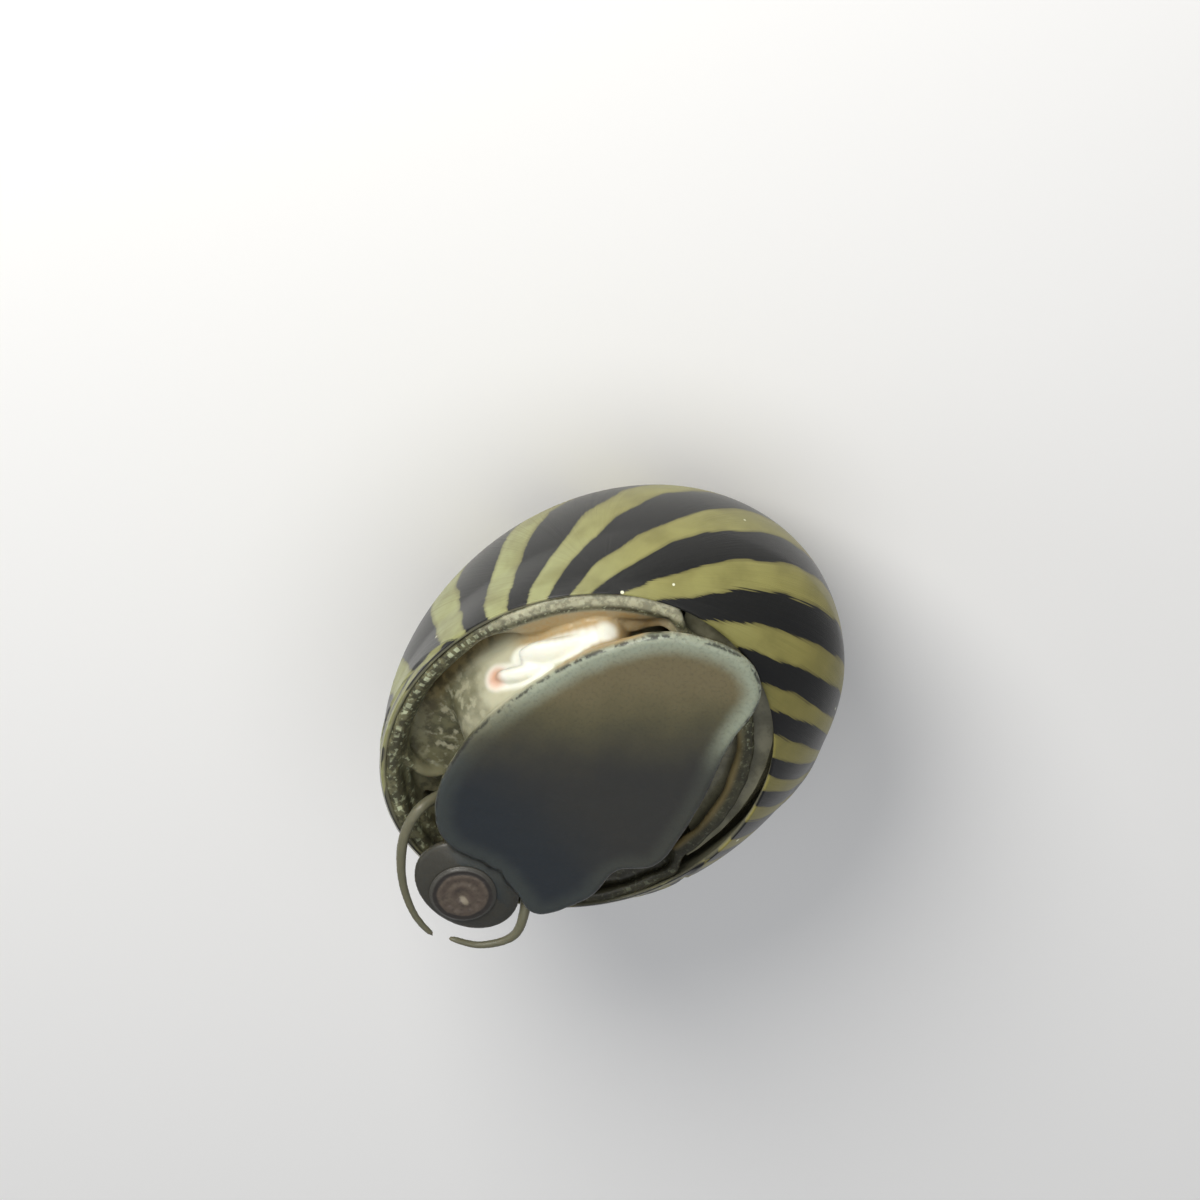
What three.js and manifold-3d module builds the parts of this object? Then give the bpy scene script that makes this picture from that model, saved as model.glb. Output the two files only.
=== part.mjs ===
// Zebra nerite, a life-size snail that lies on the top of its shell with its sole up.
// Millimetres, +Z out of the sole, head towards -Y, the snail's own right towards +X.
import * as THREE from 'three';
import * as BufferGeometryUtils from 'three/addons/utils/BufferGeometryUtils.js';
import Module from 'manifold-3d';

const wasm = await Module();
wasm.setup();

// Driving dimensions. Heights are taken from the plane of the sole.
const gap = 0.3;
const restHeight = -16.0;
const dome = {
  x: 0.9, y: 0.3, z: -5.5, left: 9.4, right: 8.9, halfLength: 11.7, below: 10.7, above: 7.9,
};
const shellWall = { side: 0.9, crown: 2.2 };
const rim = { x: -0.8, y: -0.7, z: -1.6, left: 8.3, right: 8.8, halfLength: 9.4 };
const cavityAbove = 8.5;
const spire = { height: 0.8, reach: 27, outline: 42, overlap: 6, tipShare: 0.4, closing: 0.78 };
const spireDepths = { foot: 4, plugStart: 5, plugEnd: 20 };
const suture = { turn: 44, reach: 53, expansion: 3.2, whorls: 3, depth: 0.32, width: 0.12 };
const apexDirection = new THREE.Vector3(8.4, 3.4, -2.8).normalize();
const newGrowth = { hingeY: -0.2, slope: 17, endLength: 1.1 };
const deck = {
  facing: 50, edge: 5.3, reach: 11, thickness: 0.8, top: -2.4, teeth: 9, toothDepth: 0.25, arcSteps: 20,
};
const operculum = {
  x: -0.8, y: 4.85, halfLength: 3.2, depth: 3.9, thickness: 0.5, top: -1.55, bevel: 0.1,
};
const sole = { middle: 1.9, frontCut: -3.4, tailCut: 3.2, steps: 54 };
// The foot from the sole down: how far the outline is drawn in, how much of it is left, and the height.
const soleLevels = [
  [0.3, 1, 0], [0.08, 1, -0.15], [0, 1, -0.45], [0.3, 1, -0.8],
  [0.3, 0.7, -1.2], [0.3, 0.35, -1.4], [0.3, 0, -sole.middle],
];
const column = {
  x: -0.8, y: -1.6, halfWidth: 3.5, halfLength: 4.1, foot: -7.2, spread: 1.12, rows: 4, sides: 28,
};
const hump = { top: -7.5 };
const mantle = { inset: 1.45, width: 0.8, sides: 10, stepAngle: 8, fewestSteps: 5 };
const lining = { thickness: 0.6, top: -3.1, bottom: -7.2, start: 122, end: 226, steps: 20, levels: 5 };
const snout = { x: 1.2, y: -9.0, z: -0.7, halfWidth: 2.75, halfLength: 2.25, halfHeight: 0.6 };
const head = { x: 0.6, y: -5.7, z: -3.0, halfWidth: 2.7, halfLength: 1.9, halfHeight: 1.4 };
const mouth = { x: 1.15, y: -9.2, radius: 1.55, thickness: 0.32, top: -0.04, sides: 26 };
// The face of the mouth from its rim in: the share of the radius, and the height.
const mouthFace = [
  [1, -0.16], [0.9, -0.03], [0.72, 0], [0.5, -0.06], [0.3, -0.05], [0.15, -0.14], [0, -0.14],
];
const tentacle = { base: 0.38, middle: 0.32, tip: 0.17, cuts: [0, 0.34, 0.68, 1] };
const eye = { radius: 0.34, stalkBase: 0.42, stalkTip: 0.34 };
const leafForm = { endShare: 0.02, steps: 8, sides: 10 };

// The outline of the sole, from the front left corner round by the tail.
const soleOutline = [
  [-3.6, -6.7], [-5.2, -3.4], [-5.6, 0.3], [-5.1, 4.4], [-3.5, 7.6], [-0.4, 9.2], [1.6, 8.5],
  [2.8, 5.7], [4.7, 2.0], [5.8, -1.5], [4.9, -3.0], [5.2, -5.2], [4.3, -7.4], [1.2, -7.2], [-1.6, -7.9],
];
const tentacleRoutes = {
  left: [
    [-1.6, -6.5, -2.45], [-2.7, -7.1, -1.95], [-3.2, -8.0, -1.2], [-2.75, -9.3, -0.9],
    [-1.7, -10.5, -0.8], [-0.3, -11.5, -0.8], [1.5, -12.15, -0.8],
  ],
  right: [
    [2.6, -6.5, -2.2], [3.4, -7.35, -1.5], [4.35, -8.3, -0.84], [4.9, -9.4, -0.8],
    [4.3, -10.9, -0.8], [2.9, -11.8, -0.8],
  ],
};
const eyeStalks = {
  left: [[-1.9, -6.3, -3.5], [-3.2, -6.9, -3.85]],
  right: [[3.3, -6.2, -3.7], [4.4, -6.6, -4.1]],
};
const gillLeaves = {
  upper: { from: [-5.9, 0.0, -3.3], to: [-3.9, 2.9, -3.3], width: 0.75, thickness: 0.5 },
  lower: { from: [-6.0, -2.3, -3.5], to: [-4.8, -0.6, -3.5], width: 0.6, thickness: 0.45 },
};

const toRadians = THREE.MathUtils.degToRad;

// A closed solid through a row of rings, its ends closed by fans about their middle points.
function loft(rings) {
  const count = rings[0].length;
  const positions = [];
  const index = [];
  for (const ring of rings) {
    for (const point of ring) positions.push(point.x, point.y, point.z);
  }
  for (let row = 0; row + 1 < rings.length; row += 1) {
    for (let k = 0; k < count; k += 1) {
      const a = row * count + k;
      const b = row * count + (k + 1) % count;
      index.push(a, b, a + count, b, b + count, a + count);
    }
  }
  for (const [row, turned] of [[0, false], [rings.length - 1, true]]) {
    const middle = new THREE.Vector3();
    for (const point of rings[row]) middle.addScaledVector(point, 1 / count);
    const hub = positions.length / 3;
    positions.push(middle.x, middle.y, middle.z);
    for (let k = 0; k < count; k += 1) {
      const a = row * count + k;
      const b = row * count + (k + 1) % count;
      index.push(hub, ...(turned ? [a, b] : [b, a]));
    }
  }
  const geometry = new THREE.BufferGeometry();
  geometry.setAttribute('position', new THREE.Float32BufferAttribute(positions, 3));
  geometry.setIndex(index);
  return facingOut(geometry);
}

// Turns every triangle over when the solid's volume comes out negative.
function facingOut(geometry) {
  const points = geometry.attributes.position;
  const corners = geometry.index.array;
  const [a, b, c] = [new THREE.Vector3(), new THREE.Vector3(), new THREE.Vector3()];
  let volume = 0;
  for (let k = 0; k < corners.length; k += 3) {
    a.fromBufferAttribute(points, corners[k]);
    b.fromBufferAttribute(points, corners[k + 1]);
    c.fromBufferAttribute(points, corners[k + 2]);
    volume += a.dot(b.cross(c));
  }
  if (volume < 0) {
    for (let k = 0; k < corners.length; k += 3) {
      [corners[k + 1], corners[k + 2]] = [corners[k + 2], corners[k + 1]];
    }
  }
  return geometry;
}

function solidOf(geometry) {
  let plain = geometry.clone();
  plain.deleteAttribute('normal');
  plain.deleteAttribute('uv');
  plain = BufferGeometryUtils.mergeVertices(plain);
  return new wasm.Manifold(new wasm.Mesh({
    numProp: 3,
    vertProperties: Float32Array.from(plain.attributes.position.array),
    triVerts: Uint32Array.from(plain.index.array),
  }));
}

// The largest closed surface of a cut or joined solid.
function geometryOf(solid) {
  const pieces = solid.decompose();
  pieces.sort((one, other) => other.volume() - one.volume());
  const mesh = pieces[0].getMesh();
  const geometry = new THREE.BufferGeometry();
  geometry.setAttribute('position', new THREE.Float32BufferAttribute(mesh.vertProperties, 3));
  geometry.setIndex(new THREE.Uint32BufferAttribute(mesh.triVerts, 1));
  return geometry;
}

function boxSolid(low, high) {
  const size = high.map((value, axis) => value - low[axis]);
  const box = new THREE.BoxGeometry(...size);
  box.translate(...low.map((value, axis) => value + size[axis] / 2));
  return solidOf(box);
}

const far = 30;
const aboveLevel = (z) => boxSolid([-far, -far, z], [far, far, z + far]);
const belowLevel = (z) => boxSolid([-far, -far, z - far], [far, far, z]);

function ellipsoidSolid(form, extra = 0, columns = 20, rows = 12) {
  const ball = new THREE.SphereGeometry(1, columns, rows);
  ball.scale(form.halfWidth + extra, form.halfLength + extra, form.halfHeight + extra);
  ball.translate(form.x, form.y, form.z);
  return solidOf(ball);
}

// How much of the way the section has changed from the dome's widest one to the rim's.
const rimRise = rim.z - dome.z;
const rimShare = (height) => Math.min(1, Math.max(0, height / rimRise)) ** 1.5;
const rimLevel = Math.sqrt(1 - (rimRise / dome.above) ** 2);

// Half the depth of a dome drawn in by an inset, whose wall thickens towards the crown.
const depthBelow = (inset) => dome.below - inset * shellWall.crown / shellWall.side;

// The middle and the half widths of the dome's section at a height above its widest one.
function domeSection(height) {
  const share = rimShare(height);
  const between = (first, second) => THREE.MathUtils.lerp(first, second, share);
  return {
    x: between(dome.x, rim.x),
    y: between(dome.y, rim.y),
    left: between(dome.left, rim.left / rimLevel),
    right: between(dome.right, rim.right / rimLevel),
    halfLength: between(dome.halfLength, rim.halfLength / rimLevel),
  };
}

// The dome of the shell, an egg shape whose sole side leans over to the rim.
function domePoint(latitude, longitude, inset, above) {
  const height = Math.sin(latitude) * (latitude > 0 ? above : depthBelow(inset));
  const section = domeSection(height);
  const across = Math.cos(longitude);
  const halfWidth = across > 0 ? section.right : section.left;
  return new THREE.Vector3(
    section.x + Math.cos(latitude) * (halfWidth - inset) * across,
    section.y + Math.cos(latitude) * (section.halfLength - inset) * Math.sin(longitude),
    dome.z + height,
  );
}

const poleLatitude = 89;

function domeSolid(columns, rows, inset, above, shaped = (point) => point) {
  const rings = [];
  for (let row = 0; row < rows; row += 1) {
    const latitude = toRadians(poleLatitude * (2 * row / (rows - 1) - 1));
    const ring = [];
    for (let k = 0; k < columns; k += 1) {
      ring.push(shaped(domePoint(latitude, 2 * Math.PI * k / columns, inset, above)));
    }
    rings.push(ring);
  }
  return solidOf(loft(rings));
}

// Two directions across the coiling axis, the first one on the sole's side.
const acrossOne = new THREE.Vector3(0, 0, 1)
  .addScaledVector(apexDirection, -apexDirection.z)
  .normalize();
const acrossTwo = new THREE.Vector3().crossVectors(apexDirection, acrossOne);
const domeMiddle = new THREE.Vector3(dome.x, dome.y, dome.z);

// The direction from the middle of the dome at a turn round the apex and a reach from it, in degrees.
function towards(turn, reach) {
  const across = acrossOne.clone().multiplyScalar(Math.cos(toRadians(turn)))
    .addScaledVector(acrossTwo, Math.sin(toRadians(turn)));
  return apexDirection.clone().multiplyScalar(Math.cos(toRadians(reach)))
    .addScaledVector(across, Math.sin(toRadians(reach)));
}

// The suture's reach from the apex after some turns round it, one turn being 1.
const sutureReach = (turns) => suture.reach * suture.expansion ** -turns;

// How far the surface stands out of the dome: a low spire, and a groove along the suture.
function relief(turn, reach) {
  const since = ((turn - suture.turn + 720) % 360) / 360;
  let rise = spire.height * Math.max(0, 1 - (reach / spire.reach) ** 2) ** 1.5;
  for (let whorl = 0; whorl < suture.whorls; whorl += 1) {
    const line = sutureReach(since + whorl);
    const away = (reach - line) / (suture.width * line);
    rise -= suture.depth * Math.sqrt(line / suture.reach) * Math.exp(-away * away);
  }
  return rise;
}

// A point of the dome, moved out or in to the coiled surface.
function coiledPoint(point) {
  const direction = point.clone().sub(domeMiddle).normalize();
  const turn = THREE.MathUtils.radToDeg(Math.atan2(direction.dot(acrossTwo), direction.dot(acrossOne)));
  const reach = THREE.MathUtils.radToDeg(direction.angleTo(apexDirection));
  return point.addScaledVector(direction, relief(turn, reach));
}

const halvings = 24;

// How far the dome's surface lies from its middle in a direction, by halving.
function domeDistance(direction) {
  let [near, out] = [spireDepths.foot, spireDepths.plugEnd];
  for (let step = 0; step < halvings; step += 1) {
    const distance = (near + out) / 2;
    const height = distance * direction.z;
    const section = domeSection(height);
    const x = dome.x + distance * direction.x - section.x;
    const y = dome.y + distance * direction.y - section.y;
    const inside = (x / (x > 0 ? section.right : section.left)) ** 2 + (y / section.halfLength) ** 2
      + (height / (height > 0 ? dome.above : dome.below)) ** 2 < 1;
    if (inside) near = distance;
    else out = distance;
  }
  return near;
}

function spireCap(columns, rows) {
  const rings = [];
  for (let row = -1; row <= rows; row += 1) {
    const reach = (spire.outline + spire.overlap) * Math.min(1, 1 - row / (rows + spire.tipShare));
    const ring = [];
    for (let k = 0; k < columns; k += 1) {
      const turn = 360 * k / columns;
      const direction = towards(turn, reach);
      const distance = row < 0 ? spireDepths.foot : domeDistance(direction) + relief(turn, reach);
      ring.push(domeMiddle.clone().addScaledVector(direction, distance));
    }
    rings.push(ring);
  }
  return solidOf(loft(rings));
}

// A plug round the coiling axis that follows the last suture and closes where this nears the rim.
function spirePlug(extra) {
  const steps = 48;
  const margin = THREE.MathUtils.radToDeg(extra / dome.right);
  const [inner, outer] = [[], []];
  for (let k = 0; k < steps; k += 1) {
    const share = k / steps;
    const closing = THREE.MathUtils.smoothstep(share, spire.closing, 1);
    const open = Math.min(sutureReach(share), spire.outline);
    const reach = THREE.MathUtils.lerp(open, spire.outline, closing);
    const direction = towards(suture.turn + 360 * share, reach + margin);
    inner.push(domeMiddle.clone().addScaledVector(direction, spireDepths.plugStart));
    outer.push(domeMiddle.clone().addScaledVector(direction, spireDepths.plugEnd));
  }
  return solidOf(loft([inner, outer]));
}

// The wedge of shell laid down last, on the head's side of the hinge line.
function growthWedge(drop) {
  const wedge = new THREE.BoxGeometry(2 * far, 2 * far, far);
  wedge.translate(0, -far, far / 2);
  wedge.rotateX(toRadians(newGrowth.slope));
  wedge.translate(0, newGrowth.hingeY, rim.z - drop);
  const end = newGrowth.hingeY - newGrowth.endLength + drop;
  return solidOf(wedge).intersect(boxSolid([-far, -far, -far], [far, end, far]));
}

const cavity = domeSolid(40, 17, shellWall.side, cavityAbove);

function shellPieces() {
  const whorl = domeSolid(60, 29, 0, dome.above, coiledPoint).subtract(cavity)
    .subtract(aboveLevel(rim.z)).subtract(belowLevel(restHeight)).subtract(spirePlug(gap / 2));
  return {
    shell_body_whorl: whorl.subtract(growthWedge(gap)),
    shell_lip: whorl.intersect(growthWedge(0)),
    shell_spire: spireCap(44, 16).intersect(spirePlug(-gap / 2)).subtract(cavity),
  };
}

function arcRoundRim(radius, start, end, steps) {
  const points = [];
  for (let k = 0; k <= steps; k += 1) {
    const angle = toRadians(start + (end - start) * k / steps);
    const [x, y] = [rim.x + radius * Math.cos(angle), rim.y + radius * Math.sin(angle)];
    points.push(new THREE.Vector3(x, y, 0));
  }
  return points;
}

// The shelf across the hinder part of the mouth, with a weakly toothed edge.
function shellDeck() {
  const halfAngle = THREE.MathUtils.radToDeg(Math.acos(deck.edge / deck.reach));
  const arc = arcRoundRim(deck.reach, deck.facing - halfAngle, deck.facing + halfAngle, deck.arcSteps);
  const first = arc[0];
  const last = arc[arc.length - 1];
  const facing = toRadians(deck.facing);
  const inward = new THREE.Vector3(-Math.cos(facing), -Math.sin(facing), 0);
  const edge = [];
  const steps = 2 * deck.teeth;
  for (let k = 1; k < steps; k += 1) {
    const tooth = k % 2 ? deck.toothDepth : 0;
    edge.push(last.clone().lerp(first, k / steps).addScaledVector(inward, tooth));
  }
  const shape = new THREE.Shape([...arc, ...edge].map((point) => new THREE.Vector2(point.x, point.y)));
  const plate = new THREE.ExtrudeGeometry(shape, { depth: deck.thickness, bevelEnabled: false });
  plate.translate(0, 0, deck.top - deck.thickness);
  return solidOf(plate).intersect(domeSolid(40, 17, shellWall.side + gap, cavityAbove - gap));
}

// A D-shaped plate under the tail, its straight side towards the body.
function operculumPlate(extra = 0) {
  const shape = new THREE.Shape();
  shape.moveTo(operculum.halfLength, -operculum.depth / 2);
  shape.bezierCurveTo(
    operculum.halfLength * 1.15, operculum.depth * 0.7,
    -operculum.halfLength * 1.15, operculum.depth * 0.7,
    -operculum.halfLength, -operculum.depth / 2,
  );
  shape.quadraticCurveTo(0, -operculum.depth * 0.62, operculum.halfLength, -operculum.depth / 2);
  const plate = new THREE.ExtrudeGeometry(shape, {
    depth: operculum.thickness - 2 * operculum.bevel,
    bevelThickness: operculum.bevel + extra,
    bevelSize: operculum.bevel + extra,
    bevelSegments: 1,
    curveSegments: 14,
  });
  plate.translate(operculum.x, operculum.y, operculum.top - operculum.thickness + operculum.bevel);
  return solidOf(plate);
}

const outlineCorners = soleOutline.map(([x, y]) => new THREE.Vector3(x, y, 0));
const outlineCurve = new THREE.CatmullRomCurve3(outlineCorners, true);
const outlinePoints = outlineCurve.getPoints(sole.steps).slice(0, sole.steps);

// The outline drawn in towards the body's stalk, share 1 at the edge and 0 at the stalk.
function soleRing(inset, share, z) {
  return outlinePoints.map((point) => {
    const away = new THREE.Vector2(point.x - column.x, point.y - column.y);
    const angle = away.angle();
    const [halfWidth, halfLength] = [column.halfWidth, column.halfLength];
    const stalk = new THREE.Vector2(halfWidth * Math.cos(angle), halfLength * Math.sin(angle));
    const place = stalk.lerp(away.setLength(away.length() - inset), share);
    return new THREE.Vector3(column.x + place.x, column.y + place.y, z);
  });
}

function footSolid() {
  return solidOf(loft(soleLevels.map(([inset, share, z]) => soleRing(inset, share, z))));
}

function footPieces() {
  const half = gap / 2;
  const whole = footSolid().subtract(ellipsoidSolid(snout, gap)).subtract(operculumPlate(gap));
  const lengthOf = (from, to) => whole.intersect(boxSolid([-far, from, -far], [far, to, far]));
  return {
    foot_front: lengthOf(-far, sole.frontCut - half),
    foot_middle: lengthOf(sole.frontCut + half, sole.tailCut - half),
    foot_tail: lengthOf(sole.tailCut + half, far),
  };
}

function columnSolid(extra = 0) {
  const rings = [];
  const top = -sole.middle - gap + extra;
  for (let row = 0; row <= column.rows; row += 1) {
    const share = row / column.rows;
    const scale = 1 + (column.spread - 1) * share;
    const ring = [];
    for (let k = 0; k < column.sides; k += 1) {
      const angle = 2 * Math.PI * k / column.sides;
      ring.push(new THREE.Vector3(
        column.x + (column.halfWidth * scale + extra) * Math.cos(angle),
        column.y + (column.halfLength * scale + extra) * Math.sin(angle),
        top + (column.foot - top) * share,
      ));
    }
    rings.push(ring);
  }
  return solidOf(loft(rings));
}

function humpSolid() {
  return domeSolid(36, 17, shellWall.side + gap, cavityAbove).subtract(aboveLevel(hump.top));
}

// A length of the mantle's edge, which runs round inside the rim and is oval in section.
function ringLength(start, end, height, z) {
  const steps = Math.max(mantle.fewestSteps, Math.round((end - start) / mantle.stepAngle));
  const rings = [];
  for (let step = 0; step <= steps; step += 1) {
    const angle = toRadians(start + (end - start) * step / steps);
    const halfWidth = Math.cos(angle) > 0 ? rim.right : rim.left;
    const ring = [];
    for (let k = 0; k < mantle.sides; k += 1) {
      const turn = 2 * Math.PI * k / mantle.sides;
      const outward = mantle.width / 2 * Math.cos(turn) - mantle.inset;
      ring.push(new THREE.Vector3(
        rim.x + (halfWidth + outward) * Math.cos(angle),
        rim.y + (rim.halfLength + outward) * Math.sin(angle),
        z + height / 2 * Math.sin(turn),
      ));
    }
    rings.push(ring);
  }
  return solidOf(loft(rings));
}

// The thin skirt that lines the open side of the shell.
function liningSolid() {
  const { steps, levels } = lining;
  const outer = shellWall.side + gap;
  const inner = outer + lining.thickness;
  const rings = [];
  for (let step = 0; step <= steps; step += 1) {
    const longitude = toRadians(lining.start + (lining.end - lining.start) * step / steps);
    const ring = [];
    for (const [inset, rising] of [[outer, true], [inner, false]]) {
      for (let level = 0; level <= levels; level += 1) {
        const share = rising ? level / levels : 1 - level / levels;
        const height = lining.bottom + (lining.top - lining.bottom) * share - dome.z;
        const scale = height > 0 ? cavityAbove : depthBelow(inset);
        ring.push(domePoint(Math.asin(height / scale), longitude, inset, cavityAbove));
      }
    }
    rings.push(ring);
  }
  return solidOf(loft(rings));
}

// A round tapered length along part of a curve, from one share of it to another.
function taperedLength(curve, from, to, radiusAt, sides = 9, steps = 7) {
  const rings = [];
  for (let step = 0; step <= steps; step += 1) {
    const share = from + (to - from) * step / steps;
    const middle = curve.getPointAt(share);
    const along = curve.getTangentAt(share);
    const side = new THREE.Vector3().crossVectors(along, new THREE.Vector3(0, 0, 1)).normalize();
    const up = new THREE.Vector3().crossVectors(side, along);
    const ring = [];
    for (let k = 0; k < sides; k += 1) {
      const turn = 2 * Math.PI * k / sides;
      ring.push(middle.clone()
        .addScaledVector(side, radiusAt(share) * Math.cos(turn))
        .addScaledVector(up, radiusAt(share) * Math.sin(turn)));
    }
    rings.push(ring);
  }
  return solidOf(loft(rings));
}

function curveThrough(points) {
  return new THREE.CatmullRomCurve3(points.map((point) => new THREE.Vector3(...point)));
}

function tentacleRadius(share) {
  const early = THREE.MathUtils.lerp(tentacle.base, tentacle.middle, Math.min(1, 2 * share));
  return THREE.MathUtils.lerp(early, tentacle.tip, Math.max(0, 2 * share - 1) ** 1.5);
}

function tentaclePieces(side) {
  const curve = curveThrough(tentacleRoutes[side]);
  const half = gap / 2 / curve.getLength();
  const { cuts } = tentacle;
  const names = ['base', 'middle', 'tip'];
  const pieces = {};
  names.forEach((name, k) => {
    const from = cuts[k] + (k ? half : 0);
    const to = cuts[k + 1] - (k < 2 ? half : 0);
    pieces[`tentacle_${side}_${name}`] = taperedLength(curve, from, to, tentacleRadius);
  });
  const clear = ellipsoidSolid(head, gap);
  pieces[`tentacle_${side}_base`] = pieces[`tentacle_${side}_base`].subtract(clear);
  return pieces;
}

function eyePieces(side) {
  const [root, tip] = eyeStalks[side].map((point) => new THREE.Vector3(...point));
  const curve = new THREE.LineCurve3(root, tip);
  const radiusAt = (share) => THREE.MathUtils.lerp(eye.stalkBase, eye.stalkTip, share);
  const ball = new THREE.SphereGeometry(eye.radius, 12, 8);
  const place = tip.clone().addScaledVector(curve.getTangentAt(1), eye.radius);
  ball.translate(place.x, place.y, place.z);
  const room = new THREE.SphereGeometry(eye.radius + gap, 12, 8);
  room.translate(place.x, place.y, place.z);
  return {
    [`eye_stalk_${side}`]: taperedLength(curve, 0, 1, radiusAt, 10, 3)
      .subtract(ellipsoidSolid(head, gap)).subtract(columnSolid(gap)).subtract(solidOf(room)),
    [`eye_${side}`]: solidOf(ball),
  };
}

// A flat leaf with round ends, swollen in its middle.
function gillLeaf(leaf) {
  const curve = new THREE.LineCurve3(new THREE.Vector3(...leaf.from), new THREE.Vector3(...leaf.to));
  const along = curve.getTangentAt(0);
  const side = new THREE.Vector3(-along.y, along.x, 0);
  const rings = [];
  for (let step = 0; step <= leafForm.steps; step += 1) {
    const share = THREE.MathUtils.lerp(leafForm.endShare, 1 - leafForm.endShare, step / leafForm.steps);
    const swell = Math.sqrt(Math.sin(Math.PI * share));
    const ring = [];
    for (let k = 0; k < leafForm.sides; k += 1) {
      const turn = 2 * Math.PI * k / leafForm.sides;
      ring.push(curve.getPointAt(share)
        .addScaledVector(side, leaf.width * swell * Math.cos(turn))
        .addScaledVector(new THREE.Vector3(0, 0, 1), leaf.thickness * swell * Math.sin(turn)));
    }
    rings.push(ring);
  }
  return solidOf(loft(rings)).subtract(columnSolid(gap));
}

// The lips, a low disc with a rounded edge and a dimple in its middle.
function mouthDisc() {
  const profile = [[0, -mouth.thickness], [1, -mouth.thickness], ...mouthFace];
  const points = profile.map(([share, z]) => new THREE.Vector2(mouth.radius * share, z));
  const disc = new THREE.LatheGeometry(points, mouth.sides);
  disc.rotateX(Math.PI / 2);
  disc.translate(mouth.x, mouth.y, mouth.top);
  return solidOf(disc);
}

function mouthPocket() {
  const depth = mouth.thickness + gap;
  const length = depth + 1;
  const pocket = new THREE.CylinderGeometry(mouth.radius + gap, mouth.radius + gap, length, mouth.sides);
  pocket.rotateX(Math.PI / 2);
  pocket.translate(mouth.x, mouth.y, mouth.top - depth + length / 2);
  return solidOf(pocket);
}

function headPieces() {
  return {
    snout: ellipsoidSolid(snout, 0, 24, 12).subtract(mouthPocket()),
    mouth: mouthDisc(),
    head: ellipsoidSolid(head, 0, 20, 12).subtract(columnSolid(gap))
      .subtract(ellipsoidSolid(snout, gap, 24, 12)).subtract(footSolid().translate([0, 0, -gap])),
  };
}

const finishes = {
  shell: { color: 0x8f9440, roughness: 0.25 },
  deck: { color: 0xb9b59a, roughness: 0.35 },
  operculum: { color: 0x8d8472, roughness: 0.4 },
  sole: { color: 0x4a4f4c, roughness: 0.5 },
  body: { color: 0xb8b29c, roughness: 0.5 },
  mantle: { color: 0x55523f, roughness: 0.5 },
  lining: { color: 0x8a6a45, roughness: 0.45 },
  gill: { color: 0xe9e4d8, roughness: 0.35 },
  mouth: { color: 0x6b4d42, roughness: 0.5 },
  feeler: { color: 0x6c6f5c, roughness: 0.5 },
  eye: { color: 0x0c0c10, roughness: 0.1 },
};

const mantleLengths = {
  rear: { start: 48, end: 113, height: 0.6, z: -1.75 },
  left: { start: 115, end: 172, height: 1.3, z: -2.15 },
  front_left: { start: 174, end: 232, height: 1.3, z: -2.15 },
  front: { start: 234, end: 306, height: 0.9, z: -2.8 },
  right: { start: 309, end: 406, height: 0.6, z: -1.75 },
};

const group = new THREE.Group();

function add(name, solid, finish) {
  const material = new THREE.MeshStandardMaterial({ metalness: 0, ...finishes[finish] });
  const mesh = new THREE.Mesh(geometryOf(solid), material);
  mesh.name = name;
  group.add(mesh);
}

for (const [name, solid] of Object.entries(shellPieces())) add(name, solid, 'shell');
add('shell_deck', shellDeck().subtract(columnSolid(gap)), 'deck');
add('operculum', operculumPlate(), 'operculum');
for (const [name, solid] of Object.entries(footPieces())) add(name, solid, 'sole');
add('body_stalk', columnSolid(), 'body');
add('body_hump', humpSolid(), 'body');
for (const [name, { start, end, height, z }] of Object.entries(mantleLengths)) {
  add(`mantle_edge_${name}`, ringLength(start, end, height, z), 'mantle');
}
add('mantle_lining', liningSolid(), 'lining');
for (const [name, leaf] of Object.entries(gillLeaves)) add(`gill_leaf_${name}`, gillLeaf(leaf), 'gill');
const headSolids = headPieces();
add('head', headSolids.head, 'sole');
add('snout', headSolids.snout, 'sole');
add('mouth', headSolids.mouth, 'mouth');
for (const side of ['left', 'right']) {
  for (const [name, solid] of Object.entries(tentaclePieces(side))) add(name, solid, 'feeler');
  for (const [name, solid] of Object.entries(eyePieces(side))) {
    add(name, solid, name.includes('stalk') ? 'feeler' : 'eye');
  }
}

// The origin stands under the middle of the whole snail, on the plane it rests on.
const reach = new THREE.Box3().setFromObject(group);
const middle = reach.getCenter(new THREE.Vector3());
group.position.set(-middle.x, -middle.y, -restHeight);

export default group;
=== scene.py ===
# Zebra nerite, life size, laid on the top of its shell with the sole up
import math

import bpy
from mathutils import Matrix, Vector, kdtree, noise


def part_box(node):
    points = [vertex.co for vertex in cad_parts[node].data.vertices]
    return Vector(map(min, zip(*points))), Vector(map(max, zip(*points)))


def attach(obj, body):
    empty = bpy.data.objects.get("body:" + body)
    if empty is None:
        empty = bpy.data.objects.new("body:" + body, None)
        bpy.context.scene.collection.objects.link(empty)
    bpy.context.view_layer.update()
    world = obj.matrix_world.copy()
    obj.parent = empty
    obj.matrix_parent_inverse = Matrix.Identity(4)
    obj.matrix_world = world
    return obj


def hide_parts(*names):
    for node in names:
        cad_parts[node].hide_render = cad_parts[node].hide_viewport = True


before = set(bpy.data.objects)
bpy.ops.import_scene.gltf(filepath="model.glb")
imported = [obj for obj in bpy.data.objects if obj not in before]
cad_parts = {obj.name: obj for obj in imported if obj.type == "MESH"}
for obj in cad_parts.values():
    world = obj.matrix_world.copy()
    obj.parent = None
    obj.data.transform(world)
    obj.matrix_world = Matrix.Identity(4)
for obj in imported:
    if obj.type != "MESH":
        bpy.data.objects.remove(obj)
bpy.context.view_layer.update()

mm = 0.001

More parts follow.
